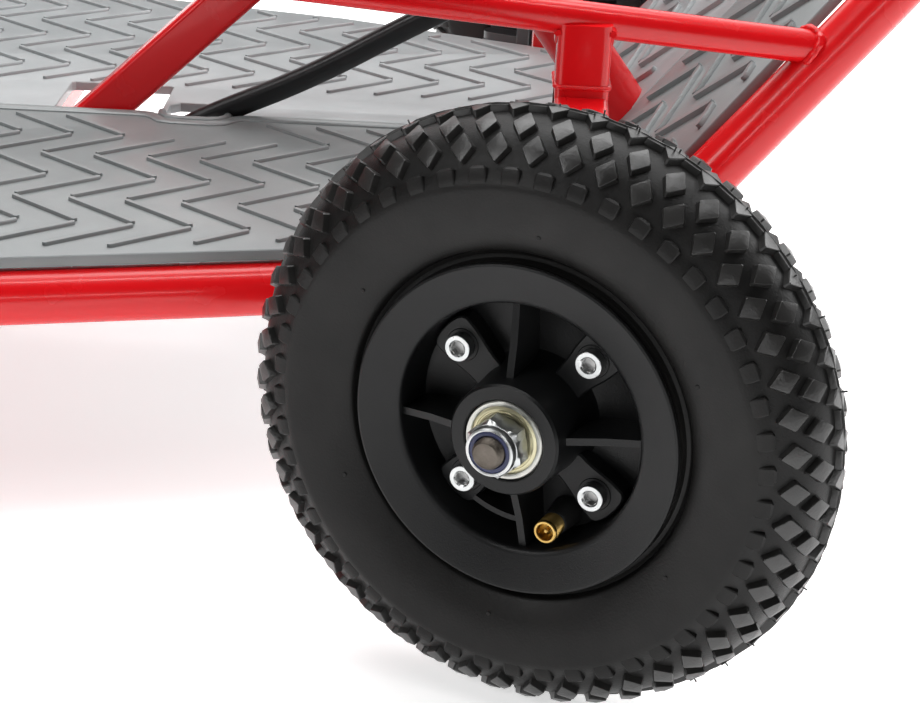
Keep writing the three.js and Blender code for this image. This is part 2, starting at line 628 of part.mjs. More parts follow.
// Tie rods: an eye on the knuckle's stud, and an eye with play on the shaft's stud.
function tieRodGeometry(side, level) {
  const knuckleStud = new THREE.Vector3(-STEER_ARM, 0, 0)
    .applyAxisAngle(new THREE.Vector3(0, 0, 1), REST_STEER)
    .add(new THREE.Vector3(KINGPIN_X, side * KINGPIN_Y, TIE_ROD_Z));
  steeringTurn.updateWorldMatrix(true, false);
  const eyeCentre = new THREE.Vector3(-STEER_ARM, 0, level).applyMatrix4(steeringTurn.matrixWorld);
  const direction = eyeCentre.clone().sub(knuckleStud);
  const length = direction.length();
  const shank = along(rod(TIE_ROD_R, [KNUCKLE_EYE_R - 3, length - EYE_R + 1], 10), knuckleStud, direction);
  const outer = ring(STUD_R + GAP, KNUCKLE_EYE_R, [-KNUCKLE_EYE_HALF, KNUCKLE_EYE_HALF]);
  const inner = ring(EYE_BORE_R, EYE_R, [-EYE_THICK / 2, EYE_THICK / 2]);
  const bores = [
    rod(STUD_R + GAP, [-20, 20], 16).translate(...knuckleStud.toArray()),
    along(rod(EYE_BORE_R, [-14, 14], 16), eyeCentre, columnAxis)];
  const eyes = [outer.translate(...knuckleStud.toArray()), along(inner, eyeCentre, columnAxis)];
  return cut(join(shank, ...eyes), ...bores);
}

const upperEye = armFaces[0] - EYE_PLAY - EYE_THICK / 2;
part(cart, 'tie_rod_right', tieRodGeometry(RIGHT, upperEye), finish.zinc);
part(cart, 'tie_rod_left', tieRodGeometry(LEFT, upperEye - EYE_SPACING), finish.zinc);

// ---------- brake: a lever on the column housing pulls a shoe against the rear left tyre ----------

const LEVER_PIVOT = { y: -30, z: 355 };  // in the column's own frame
const LEVER_PIN_R = 2.5;
const CLAMP_Z = [346, 362];
const CABLE_STOP_Z = 340;
const LEVER_REACH = 100;
const BALL_R = 6.5;
const CLAMP_R = 18;
const CHEEKS = [4, 9];                 // inner and outer faces of the clamp's two cheeks, from the middle
const LEVER_HALF = 3.5;                // half the blade's thickness
const CABLE_R = 3.5;

const column = new THREE.Group();
column.position.copy(steering.position);
column.rotation.copy(steering.rotation);
cart.add(column);

function rodAlongX(radius, x, { y, z }) {
  return rod(radius, x).rotateY(Math.PI / 2).translate(0, y, z);
}

part(column, 'lever_clamp', cut(
  join(
    ring(COLUMN_R + GAP, CLAMP_R, CLAMP_Z),
    box([-CHEEKS[1], CHEEKS[1]], [LEVER_PIVOT.y, -15], [CABLE_STOP_Z, CLAMP_Z[0] + 1]),
    box([-CHEEKS[1], -CHEEKS[0]], [LEVER_PIVOT.y - 7, -15], CLAMP_Z),
    box(CHEEKS, [LEVER_PIVOT.y - 7, -15], CLAMP_Z)),
  rodAlongX(LEVER_PIN_R + GAP, [-FAR, FAR], LEVER_PIVOT),
  rod(COLUMN_R + GAP, [-FAR, FAR], 16)), finish.zinc);
part(column, 'lever_pin', join(
  rodAlongX(LEVER_PIN_R, [-CHEEKS[1] - 0.5, CHEEKS[1] + 3], LEVER_PIVOT),
  rodAlongX(4.5, [CHEEKS[1] + GAP, CHEEKS[1] + 3], LEVER_PIVOT)), finish.zinc);

// The blade runs out to the right from its pivot and ends in a ball.
const bladeTip = { y: LEVER_PIVOT.y - LEVER_REACH, z: LEVER_PIVOT.z + 17 };
part(column, 'brake_lever', cut(
  join(
    rodAlongX(6, [-CHEEKS[0] + GAP, CHEEKS[0] - GAP], LEVER_PIVOT),
    ribAlongX([
      [LEVER_PIVOT.y, LEVER_PIVOT.z - 5], [LEVER_PIVOT.y, LEVER_PIVOT.z + 5],
      [bladeTip.y, bladeTip.z + 3], [bladeTip.y, bladeTip.z - 3],
    ], [-LEVER_HALF, LEVER_HALF]),
    new THREE.SphereGeometry(BALL_R, 12, 8).translate(0, bladeTip.y, bladeTip.z)),
  rodAlongX(LEVER_PIN_R + GAP, [-FAR, FAR], LEVER_PIVOT)), finish.zinc);

const BRAKE_PIVOT = { x: -258, z: 92 };
const BRAKE_PIN_R = 4;
const SHOE_GAP = 3.2;
const SHOE_THICK = 7;
const SHOE_HALF_WIDTH = 18;
const BRAKE_HUB_HALF = 12;
const BRAKE_HEAD_R = 7;
const RAIL_SIDE_Y = -RAIL_PATH[0][1] + RAIL_R;

function rodAlongY(radius, y, { x, z }) {
  return rod(radius, y).rotateX(-Math.PI / 2).translate(x, 0, z);
}

const brakeHubEnd = REAR_WHEEL_Y + BRAKE_HUB_HALF;
part(cart, 'brake_pin', join(
  rodAlongY(BRAKE_PIN_R, [RAIL_SIDE_Y + GAP, brakeHubEnd + 8], BRAKE_PIVOT),
  rodAlongY(BRAKE_HEAD_R, [RAIL_SIDE_Y + GAP, RAIL_SIDE_Y + 5], BRAKE_PIVOT),
  rodAlongY(BRAKE_HEAD_R, [brakeHubEnd + GAP, brakeHubEnd + 6], BRAKE_PIVOT)), finish.zinc);

// A [x, z] point at an angle and radius round the rear wheel's axle.
function aroundRearAxle(degrees, radius) {
  return [REAR_AXLE_X + radius * Math.cos(rad(degrees)), AXLE_HEIGHT + radius * Math.sin(rad(degrees))];
}

function brakeArmGeometry() {
  const shoeAngles = [7, 12, 17, 22];
  const face = WHEEL_RADIUS + SHOE_GAP;
  const shoe = ribAlongY([
    ...shoeAngles.map((a) => aroundRearAxle(a, face)),
    ...shoeAngles.toReversed().map((a) => aroundRearAxle(a, face + SHOE_THICK)),
  ], [REAR_WHEEL_Y - SHOE_HALF_WIDTH, REAR_WHEEL_Y + SHOE_HALF_WIDTH]);
  const { x, z } = BRAKE_PIVOT;
  const arm = ribAlongY([
    [x - 6, z - 36], [x + 6, z - 36], [x + 7, z], aroundRearAxle(18, face + SHOE_THICK + 2),
    aroundRearAxle(18, face + 1), aroundRearAxle(10, face + 1), [x - 7, z],
  ], [REAR_WHEEL_Y - 5, REAR_WHEEL_Y + 5]);
  const hub = rodAlongY(9, [REAR_WHEEL_Y - BRAKE_HUB_HALF, brakeHubEnd], BRAKE_PIVOT);
  return cut(join(shoe, arm, hub), rodAlongY(BRAKE_PIN_R + GAP, [-FAR, FAR], BRAKE_PIVOT));
}

part(cart, 'brake_arm', brakeArmGeometry(), finish.zinc);

// The control cables share one sleeve: from the brake arm under the floor, up through the slot and
// along the column housing to the stop under the lever.
const beside = (distance) => onColumn(distance).add(new THREE.Vector3(0, -21, 0)).toArray();
const CABLE_PATH = [
  [-248, 312, 60], [-205, 312, 60], [-150, 262, 62], [-60, 150, 68], [20, 30, 84], [60, -14, 91.5],
  [112, -22, 91.5], [146, -14, 94.5], [166, -12, 106], [209, -12, 123], [261, -13, 153],
  [305, -20, 178.5], beside(140), beside(240), beside(CABLE_STOP_Z - GAP),
];
part(cart, 'control_cables', tubeAlong(CABLE_PATH, CABLE_R, { bend: 38, sides: 8 }), finish.rubber);

export default cart;
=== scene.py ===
import json
import random
from math import atan2, copysign, cos, degrees, hypot, pi, radians, sin, tan

import bmesh
import bpy
from mathutils import Matrix, Vector
from mathutils.geometry import tessellate_polygon


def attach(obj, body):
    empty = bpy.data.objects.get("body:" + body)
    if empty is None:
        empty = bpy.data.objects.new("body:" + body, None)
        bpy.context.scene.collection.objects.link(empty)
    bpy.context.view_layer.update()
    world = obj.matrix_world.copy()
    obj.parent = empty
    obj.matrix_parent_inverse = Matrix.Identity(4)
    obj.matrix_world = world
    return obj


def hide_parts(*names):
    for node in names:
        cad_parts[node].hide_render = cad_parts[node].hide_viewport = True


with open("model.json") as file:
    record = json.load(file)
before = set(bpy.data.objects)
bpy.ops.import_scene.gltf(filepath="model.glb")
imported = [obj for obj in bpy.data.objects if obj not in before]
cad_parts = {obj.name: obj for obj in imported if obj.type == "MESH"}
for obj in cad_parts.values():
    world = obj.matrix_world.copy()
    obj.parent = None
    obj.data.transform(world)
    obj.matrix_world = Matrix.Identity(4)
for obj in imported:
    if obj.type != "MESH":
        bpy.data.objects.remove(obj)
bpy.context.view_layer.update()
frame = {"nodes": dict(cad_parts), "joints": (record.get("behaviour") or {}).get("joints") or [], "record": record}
joints = {joint["name"]: joint for joint in frame["joints"]}
nodes = frame["nodes"]
MM = 0.001
RIGHT, LEFT = -1, 1
SIDES = ((RIGHT, "right"), (LEFT, "left"))


# ---------- mesh helpers: all shapes are drawn in millimetres ----------

class Shape:
    """Vertices and faces of one piece, which may be several closed shells."""

    def __init__(self):
        self.vertices = []
        self.faces = []
        self.flat = set()

    def add(self, vertices, faces, place=None, flat=()):
        """Adds vertices and faces; the faces whose numbers are in `flat` keep hard edges."""
        start = len(self.vertices)
        self.flat.update(len(self.faces) + i for i in flat)
        for vertex in vertices:
            point = Vector(vertex)
            self.vertices.append(place @ point if place else point)
        self.faces.extend([start + i for i in face] for face in faces)
        return self

    def rings(self, rings, closed=True, place=None):
        """Joins rings of equal length, capping both ends unless the rings themselves close."""
        count = len(rings[0])
        vertices = [point for ring in rings for point in ring]
        faces = wall_faces(len(rings), count, closed)
        if not closed:
            faces.append(tuple(reversed(range(count))))
            faces.append(tuple(range((len(rings) - 1) * count, len(rings) * count)))
        return self.add(vertices, faces, place)

    def lathe(self, outline, segments, place=None):
        """Turns a closed [radius, z] outline about Z."""
        return self.rings([circle(radius, z, segments) for radius, z in outline], True, place)

    def turned(self, profile, segments, place=None):
        """Turns an open [radius, z] profile about Z, with a flat face at both ends."""
        return self.rings([circle(radius, z, segments) for radius, z in profile], False, place)

    def rod(self, radius, z0, z1, chamfer, segments, place=None):
        """A round bar along Z with chamfered ends."""
        profile = ((radius - chamfer, z0), (radius, z0 + chamfer),
                   (radius, z1 - chamfer), (radius - chamfer, z1))
        return self.turned(profile, segments, place)

    def prism(self, outline, z0, z1, chamfer=0.0, place=None):
        """An [x, y] outline spread along Z, drawn in a little at the top by the chamfer."""
        rings = [[(x, y, z0) for x, y in outline]]
        if chamfer:
            rings.append([(x, y, z1 - chamfer) for x, y in outline])
        rings.append([(x, y, z1) for x, y in inset(outline, chamfer)])
        return self.rings(rings, False, place)

    def block(self, x, y, z, radius, place=None):
        """A square bar along Z whose long edges are rounded."""
        return self.prism(rounded_rectangle(x, y, radius), *z, place=place)

    def tube(self, route, radius, sides):
        """A round tube along a smooth route, with flat ends."""
        across = heading(route, 0).orthogonal().normalized()
        rings = []
        for i, point in enumerate(route):
            ahead = heading(route, i)
            across = (across - ahead * across.dot(ahead)).normalized()
            other = ahead.cross(across)
            rings.append([point + radius * (across * cos(a) + other * sin(a))
                          for a in whole_turn(sides)])
        return self.rings(rings, False)


def wall_faces(rings, count, closed):
    """The quads between rings of `count` points each, from the last ring back to the first if it closes."""
    faces = []
    for i in range(rings if closed else rings - 1):
        low, high = i * count, ((i + 1) % rings) * count
        faces.extend((low + k, low + (k + 1) % count, high + (k + 1) % count, high + k) for k in range(count))
    return faces


def whole_turn(steps):
    return [2 * pi * k / steps for k in range(steps)]


def circle(radius, z, segments):
    return [(radius * cos(a), radius * sin(a), z) for a in whole_turn(segments)]


def polar(radius, degrees):
    return (radius * cos(radians(degrees)), radius * sin(radians(degrees)))


def heading(route, i):
    """The direction of a route of vectors at its point i."""
    return (route[min(i + 1, len(route) - 1)] - route[max(i - 1, 0)]).normalized()


def inset(outline, amount):
    """Moves each corner of an anticlockwise outline inwards along its bisector."""
    if not amount:
        return outline
    moved = []
    for i, (x, y) in enumerate(outline):
        here = Vector((x, y))
        before = (here - Vector(outline[i - 1])).normalized()
        after = (Vector(outline[(i + 1) % len(outline)]) - here).normalized()
        inward = Vector((-before.y - after.y, before.x + after.x))
        moved.append(tuple(here + inward.normalized() * amount) if inward.length > 1e-6 else (x, y))
    return moved


def rounded_rectangle(x, y, radius):
    corners = ((x[1], y[1], 0), (x[0], y[1], 90), (x[0], y[0], 180), (x[1], y[0], 270))
    steps = 5
    outline = []
    for corner_x, corner_y, start in corners:
        centre_x = corner_x - copysign(radius, corner_x - (x[0] + x[1]) / 2)
        centre_y = corner_y - copysign(radius, corner_y - (y[0] + y[1]) / 2)
        for k in range(steps + 1):
            a = radians(start + 90 * k / steps)
            outline.append((centre_x + radius * cos(a), centre_y + radius * sin(a)))
    return outline


def softened(outline):
    """Cuts the corners of a closed outline twice, until it looks curved."""
    for _ in range(2):
        points = [Vector(p) for p in outline]
        outline = [tuple(a.lerp(b, t)) for a, b in zip(points, points[1:] + points[:1]) for t in (0.25, 0.75)]
    return outline


def bent_route(points, bend, steps=10):
    """Straight runs joined by smooth bends."""
    corners = [Vector(p) for p in points]
    route = [corners[0]]
    for before, here, after in zip(corners, corners[1:], corners[2:]):
        to_before, to_after = before - here, after - here
        reach = min(bend, 0.45 * to_before.length, 0.45 * to_after.length)
        start = here + to_before.normalized() * reach
        end = here + to_after.normalized() * reach
        for k in range(steps + 1):
            t = k / steps
            route.append(start * (1 - t) ** 2 + here * 2 * t * (1 - t) + end * t ** 2)
    route.append(corners[-1])
    return route


def frame_at(at, x, y, z):
    """A matrix with the given place and axes."""
    return Matrix.Translation(at) @ Matrix((x, y, z)).transposed().to_4x4()


def axis_frame(at, direction, sideways=None):
    """A matrix that stands Z along a direction at a point, with X as near to `sideways` as it can be."""
    z = Vector(direction).normalized()
    x = Vector(sideways) if sideways else z.orthogonal()
    x = (x - z * x.dot(z)).normalized()
    return frame_at(Vector(at), x, z.cross(x), z)


def add_object(name, data, place=None):
    """Puts a mesh, lamp or camera into the scene."""
    thing = bpy.data.objects.new(name, data)
    bpy.context.scene.collection.objects.link(thing)
    if place:
        thing.matrix_world = place
    return thing


def break_edges(piece, width, segments):
    """Rounds the sharp edges of an object by a width in millimetres."""
    modifier = piece.modifiers.new("edges", "BEVEL")
    modifier.width = width * MM
    modifier.segments = segments
    modifier.limit_method = "ANGLE"
    modifier.angle_limit = radians(40)
    modifier.harden_normals = True


def make_piece(name, shape, material, body, replaces=(), place=None, sharp=38, bevel=0.0):
    """Turns a shape into an object in metres that rides on a CAD body."""
    mesh = bpy.data.meshes.new(name)
    mesh.from_pydata([tuple(v * MM) for v in shape.vertices], [], shape.faces)
    mesh.validate()
    work = bmesh.new()
    work.from_mesh(mesh)
    bmesh.ops.recalc_face_normals(work, faces=work.faces)
    work.to_mesh(mesh)
    work.free()
    mesh.materials.append(material)
    mesh.polygons.foreach_set("use_smooth", [i not in shape.flat for i in range(len(mesh.polygons))])
    mesh.set_sharp_from_angle(angle=radians(sharp))
    piece = add_object(name, mesh, place)
    if bevel:
        break_edges(piece, bevel, 3)
    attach(piece, body)
    if replaces:
        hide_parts(*replaces)


# ---------- materials ----------

TONE_RANGE = (0.375, 0.85)             # the part of the noise over which one tone turns into the other
RELIEF_DEPTH = 0.0004
COAT_ROUGHNESS = 0.08


def set_inputs(node, values):
    """Gives each named input its value, or a link where the value is another node's output."""
    for name, value in values.items():
        if isinstance(value, bpy.types.NodeSocket):
            node.id_data.links.new(value, node.inputs[name])
        else:
            node.inputs[name].default_value = value


def add_node(tree, kind, output, values):
    """Adds a shader node and returns one of its outputs."""
    node = tree.nodes.new("ShaderNode" + kind)
    set_inputs(node, values)
    return node.outputs[output]


def surface(name, slot, base, second, roughness, metallic=0.0, mottle=60.0, grain=900.0, bump=0.15,
            rough_spread=0.08, coat=0.0, specular=0.5):
    """A procedural finish: two tones mixed by noise, uneven roughness and a fine relief."""
    material = bpy.data.materials.new(name)
    material["slot"] = slot
    material.use_nodes = True
    tree = material.node_tree
    where = add_node(tree, "TexCoord", "Object", {})

    def noise(scale, detail):
        return add_node(tree, "TexNoise", "Fac", {"Vector": where, "Scale": scale, "Detail": detail})

    tones = add_node(tree, "ValToRGB", "Color", {"Fac": noise(mottle, 5)})
    for element, position, tone in zip(tones.node.color_ramp.elements, TONE_RANGE, (base, second)):
        element.position = position
        element.color = (*tone, 1)
    rough = add_node(tree, "MapRange", "Result", {
        "Value": noise(mottle * 2.3, 3), "To Min": max(roughness - rough_spread, 0.03),
        "To Max": min(roughness + rough_spread, 1.0)})
    relief = add_node(tree, "Bump", "Normal", {
        "Height": noise(grain, 4), "Strength": bump, "Distance": RELIEF_DEPTH})
    set_inputs(tree.nodes["Principled BSDF"], {
        "Base Color": tones, "Roughness": rough, "Normal": relief, "Metallic": metallic,
        "Specular IOR Level": specular, "Coat Weight": coat, "Coat Roughness": COAT_ROUGHNESS})
    return material


RED = surface("red_powder_coat", "red_paint", (0.68, 0.005, 0.008), (0.71, 0.006, 0.010), 0.27,
              mottle=25, grain=420, bump=0.04, coat=0.22, rough_spread=0.015, specular=0.36)
FLOOR = surface("floor_grey", "floor_plastic", (0.205, 0.222, 0.224), (0.252, 0.270, 0.272), 0.34,
                metallic=0.12, mottle=35, grain=1500, bump=0.12, rough_spread=0.07)
FAR_FLOOR = surface("floor_pale_grey", "floor_plastic", (0.29, 0.312, 0.318), (0.355, 0.378, 0.384), 0.34,
                    metallic=0.12, mottle=35, grain=1500, bump=0.12, rough_spread=0.07)
# One rubber in two copies. The carcass has the rubber's own dark tone, and it is also kept darker than the knobs
# as painted shade in the grooves between them.
TYRE = surface("tyre_rubber", "tyre_rubber", (0.0075, 0.0072, 0.0070), (0.0140, 0.0134, 0.0128), 0.42,
               mottle=45, grain=1300, bump=0.28, rough_spread=0.10, specular=0.20)
# The knobs: the same rubber with a lighter base colour, a painted highlight for the light that their tops catch.
TREAD_PAINTED_LIGHT = surface("tread_rubber_painted_light", "tyre_rubber", (0.011, 0.0106, 0.0102), (0.024, 0.023, 0.022), 0.33,
                grain=1300, bump=0.22, rough_spread=0.10, specular=0.6)
BUTYL = surface("butyl", "butyl_tube", (0.02, 0.02, 0.02), (0.03, 0.03, 0.03), 0.6, bump=0.3)
RIM = surface("rim_black", "rim_plastic", (0.0045, 0.0047, 0.005), (0.009, 0.0092, 0.0095), 0.37,
              mottle=30, grain=1800, bump=0.18, specular=0.26)
BLACK = surface("black_paint", "black_paint", (0.012, 0.012, 0.013), (0.022, 0.022, 0.023), 0.34,
                mottle=40, bump=0.12)
# Painted shade: a darker zinc for the lining inside the screw sockets.
SOCKET_PAINTED_SHADE = surface("socket_shade", "zinc_plate", (0.34, 0.34, 0.34), (0.44, 0.44, 0.43), 0.4,
                 metallic=1.0, mottle=200, bump=0.2)
ZINC = surface("bright_zinc", "zinc_plate", (0.50, 0.515, 0.515), (0.66, 0.67, 0.66), 0.30,
               metallic=1.0, mottle=120, bump=0.10)
SHIELD = surface("bearing_shield", "bearing_steel", (0.46, 0.43, 0.28), (0.58, 0.55, 0.38), 0.33,
                 metallic=0.9, mottle=90, bump=0.05)
STEEL = surface("ground_steel", "bearing_steel", (0.46, 0.46, 0.43), (0.56, 0.56, 0.52), 0.34,
                metallic=1.0, mottle=90, bump=0.05)
DARK_STEEL = surface("dark_steel", "bearing_steel", (0.10, 0.086, 0.072), (0.17, 0.148, 0.128), 0.45,
                     metallic=0.85, mottle=200, grain=1500, bump=0.3)
NYLON = surface("blue_nylon", "rim_plastic", (0.010, 0.015, 0.065), (0.02, 0.028, 0.10), 0.38,
                mottle=200, bump=0.1)
BRASS = surface("brass", "valve_brass", (0.48, 0.31, 0.09), (0.62, 0.43, 0.16), 0.30,
                metallic=1.0, mottle=220, grain=1200, bump=0.12)
GRIP = surface("grip_rubber", "black_rubber", (0.016, 0.016, 0.016), (0.028, 0.027, 0.026), 0.62,
               mottle=70, grain=1400, bump=0.4)
SLEEVE = surface("cable_sleeve", "black_rubber", (0.008, 0.008, 0.009), (0.016, 0.016, 0.017), 0.34,
                 mottle=90, grain=700, bump=0.12)
CAD_FINISH = {"red_paint": RED, "floor_plastic": FLOOR, "tyre_rubber": TYRE, "butyl_tube": BUTYL,
              "rim_plastic": RIM, "zinc_plate": ZINC, "bearing_steel": STEEL, "valve_brass": BRASS,
              "black_rubber": GRIP, "black_paint": BLACK}


def finish_cad():
    """Gives each CAD solid the finish of its slot, smooth rounds and broken edges."""
    for row in frame["record"]["subparts"]:
        node = nodes[row["node"]]
        node.data.materials.clear()
        node.data.materials.append(CAD_FINISH[row["material_slot"]])
        node.data.polygons.foreach_set("use_smooth", [True] * len(node.data.polygons))
        node.data.set_sharp_from_angle(angle=radians(33))
        break_edges(node, 0.5, 2)


finish_cad()


# ---------- camera, ground and light, in metres ----------

CAMERA_AT = Vector((0.2827, -0.9589, 0.3770))
CAMERA_YAW, CAMERA_PITCH, CAMERA_ROLL = (radians(a) for a in (0.19, 21.77, 2.91))
CAMERA_LENS = 86.1
GROUND_REACH = 18
LIGHTS_AIM = Vector((0.1, 0, 0.1))
LIGHTS = (("overhead", (0.1, 0.5, 2.2), (2.4, 1.0), 44),       # name, place, size and power
          ("back_panel", (0.3, 1.8, 1.5), (3.8, 1.5), 38),
          ("key_right", (2.0, 0.6, 1.25), (1.4, 1.1), 26),
          ("key_left", (-1.6, -1.5, 1.6), (1.0, 0.6), 15),
          ("strip_top", (0.2, -0.55, 1.9), (2.6, 0.12), 14),
          ("strip_low", (0.4, -2.4, 0.75), (1.8, 0.10), 5))


def add_camera():
    forward = Vector((sin(CAMERA_YAW) * cos(CAMERA_PITCH),
                      cos(CAMERA_YAW) * cos(CAMERA_PITCH), -sin(CAMERA_PITCH)))
    level = Vector((cos(CAMERA_YAW), -sin(CAMERA_YAW), 0))
    plumb = forward.cross(level)
    right = cos(CAMERA_ROLL) * level - sin(CAMERA_ROLL) * plumb
    down = sin(CAMERA_ROLL) * level + cos(CAMERA_ROLL) * plumb
    camera = add_object("camera", bpy.data.cameras.new("camera"), frame_at(CAMERA_AT, right, -down, -forward))
    camera.data.lens = CAMERA_LENS
    camera.data.sensor_width = 36
    camera.data.clip_start = 0.01
    bpy.context.scene.camera = camera


def add_ground():
    mesh = bpy.data.meshes.new("studio_floor")
    corners = [(x * GROUND_REACH, y * GROUND_REACH, 0) for x, y in ((-1, -1), (1, -1), (1, 1), (-1, 1))]
    mesh.from_pydata(corners, [], [(0, 1, 2, 3)])
    paper = bpy.data.materials.new("paper")
    paper.use_nodes = True
    set_inputs(paper.node_tree.nodes["Principled BSDF"], {
        "Base Color": (0.93, 0.93, 0.93, 1), "Roughness": 0.9,
        "Emission Color": (1, 1, 1, 1), "Emission Strength": 0.6})
    mesh.materials.append(paper)
    ground = add_object("studio_floor", mesh)


def add_sky():
    """A faint grey world that is dimmer behind the camera and near the horizon."""
    world = bpy.data.worlds.new("studio")
    world.use_nodes = True
    tree = world.node_tree
    where = add_node(tree, "TexCoord", "Generated", {})
    split = tree.nodes.new("ShaderNodeSeparateXYZ")
    set_inputs(split, {"Vector": where})

    def ramp(axis, low, high, dim):
        return add_node(tree, "MapRange", "Result", {
            "Value": split.outputs[axis], "From Min": low, "From Max": high, "To Min": dim, "To Max": 1.0})

    product = tree.nodes.new("ShaderNodeMath")
    product.operation = "MULTIPLY"
    set_inputs(tree.nodes["Background"], {"Strength": product.outputs["Value"]})
    for factor, values in zip(product.inputs, (("Y", -0.9, 0.5, 0.30), ("Z", 0.0, 0.7, 0.55))):
        tree.links.new(ramp(*values), factor)
    bpy.context.scene.world = world
    bpy.context.scene.view_settings.view_transform = "Standard"


def add_light(name, at, size, power):
    """A rectangular lamp that faces the middle of the object."""
    lamp = bpy.data.lights.new(name, "AREA")
    lamp.shape = "RECTANGLE"
    lamp.size, lamp.size_y = size
    lamp.energy = power
    add_object(name, lamp, axis_frame(at, Vector(at) - LIGHTS_AIM, (1, 0, 0)))


add_camera()
add_ground()
add_sky()
for light in LIGHTS:
    add_light(*light)


# ---------- wheels: drawn about Z, +Z outboard, z = 0 in the tyre's middle plane ----------

TYRE_MIDDLE_R = 78.0
TYRE_HALF_HEIGHT, TYRE_HALF_WIDTH = 22.0, 23.5
SIDEWALL_REACH = 30.0                  # the sidewall curves in towards the rim this slowly
TREAD_DEPTH = 2.3
KNOBS = 48                             # knobs in each row
TREAD_PITCH = 360 / KNOBS
SHOULDER_START, SHOULDER_END = 67, 89  # degrees round the section
SEGMENTS = 192
PIP_AROUND = 115.7


def on_tyre(theta, around, depth):
    """A point on the tyre: degrees round the axle, degrees round the section from the crest, depth below."""
    a, t = radians(around), radians(theta)
    height = TYRE_HALF_HEIGHT if abs(around) < 90 else SIDEWALL_REACH
    radius = TYRE_MIDDLE_R + (height - depth) * cos(a)
    return Vector((radius * cos(t), radius * sin(t), (TYRE_HALF_WIDTH - depth) * sin(a)))


def smooth_step(value, low, high):
    t = min(max((value - low) / (high - low), 0), 1)
    return t * t * (3 - 2 * t)


def carcass_depth(around):
    return TREAD_DEPTH * (1 - smooth_step(abs(around), SHOULDER_START, SHOULDER_END))


def add_knob(shape, theta, around, outline, top=0.0, crown=0.5):
    """A rubber block with a drafted side, a broken edge and flat facets that meet in a raised middle."""
    levels = ((TREAD_DEPTH + 0.4, 1.16), (top + 0.45, 1.0), (top + 0.12, 0.975), (top, 0.94))
    rings = []
    for depth, spread in levels:
        rings.append([on_tyre(theta + spread * t, around + spread * a, depth) for t, a in outline])
    count = len(outline)
    vertices = [point for ring in rings for point in ring]
    faces = wall_faces(len(rings), count, False)
    faces.append(tuple(reversed(range(count))))
    peak = len(vertices)
    vertices.append(on_tyre(theta, around, top - crown))
    last = (len(rings) - 1) * count
    facets = range(len(faces), len(faces) + count)
    faces.extend((last + k, last + (k + 1) % count, peak) for k in range(count))
    shape.add(vertices, faces, flat=facets)


def diamond(half_theta, half_around):
    """A diamond with its corners cut back a little."""
    blunt = 0.07
    corners = ((half_theta, 0), (0, half_around), (-half_theta, 0), (0, -half_around))
    outline = []
    for i, corner in enumerate(corners):
        for neighbour in (corners[i - 1], corners[(i + 1) % 4]):
            outline.append(tuple(c + (n - c) * blunt for c, n in zip(corner, neighbour)))
    return outline


def add_shoulder_lug(shape, theta, side):
    """A block that starts as a step beside the tread and fades into the sidewall."""
    # Each station has its degrees round the section, its depth and its half width in degrees.
    stations = ((69.0, 0.9, 1.2), (71.0, 0.35, 1.9), (77, 0.05, 2.0), (82, 0.2, 2.0), (87, 0.6, 1.8))
    rings = []
    for around, depth, half in stations:
        base = max(carcass_depth(around), depth) + 0.5
        section = ((-half * 1.1, base), (-half, depth + 0.25), (-half * 0.86, depth),
                   (half * 0.86, depth), (half, depth + 0.25), (half * 1.1, base))
        rings.append([on_tyre(theta + t, side * around, d) for t, d in section])
    shape.rings(rings, False)


def tyre_shape():
    """The carcass: its casing, sidewalls, beads, shoulder lugs and moulding pips."""
    outline = []
    for around in range(-128, 129, 2):
        point = on_tyre(0, around, carcass_depth(around))
        outline.append((point.x, point.z))
    bead_wire = [(58.7, 18.0), (58.2, 17.4), (58.0, 16.4), (57.6, 15.2), (56.4, 14.6), (55.2, 15.0),
                 (54.6, 16.6), (50.6, 16.6), (50.3, 9), (58, 9)]
    outline += bead_wire
    for around in range(130, -131, -20):
        a = radians(around)
        outline.append((TYRE_MIDDLE_R + 17.5 * cos(a), 18.5 * sin(a)))
    outline += [(radius, -z) for radius, z in reversed(bead_wire)]
    shape = Shape().lathe(outline, SEGMENTS)
    for k in range(6):
        for side in (RIGHT, LEFT):
            at = on_tyre(86 + 60 * k, side * PIP_AROUND, 0.2)
            shape.rod(0.75, 0, 0.6, 0.15, 10, axis_frame(at, (0, 0, side)))
    for k in range(KNOBS):
        for side in (RIGHT, LEFT):
            add_shoulder_lug(shape, (k + 0.5) * TREAD_PITCH, side)
    return shape


def tread_shape(whiskers):
    """The knobs, the bars that join the crest row, the mould's flash and its rubber whiskers."""
    shape = Shape()
    bar = [(1.75, -3.5), (1.75, 3.5), (-1.75, 3.5), (-1.75, -3.5)]
    for k in range(KNOBS):
        even, odd = k * TREAD_PITCH, (k + 0.5) * TREAD_PITCH
        add_knob(shape, even, 0, diamond(2.3, 15.0), crown=0.2)
        add_knob(shape, odd, 0, bar, top=0.2, crown=0.03)
        for side in (RIGHT, LEFT):
            add_knob(shape, odd, side * 29.8, diamond(2.3, 13.6))
            add_knob(shape, even, side * 53.2, diamond(2.45, 13.2))
    draw = random.Random(4)
    flash = []
    for k in range(240):
        theta, height = 1.5 * k, draw.uniform(0.1, 0.45)
        flash.append([on_tyre(theta, around, depth)
                      for around, depth in ((-0.4, 1.2), (0.4, 1.2), (0.25, -height), (-0.25, -height))])
    shape.rings(flash, True)
    for _ in range(whiskers):
        theta = draw.randrange(KNOBS) * TREAD_PITCH + draw.uniform(-0.8, 0.8)
        at = on_tyre(theta, draw.uniform(-6, 6), 0.1)
        whisker = axis_frame(at, at * Vector((1, 1, 0)) + Vector((0, 0, draw.uniform(-9, 9))))
        shape.rod(0.28, 0, draw.uniform(0.8, 1.9), 0.08, 6, whisker)
    return shape


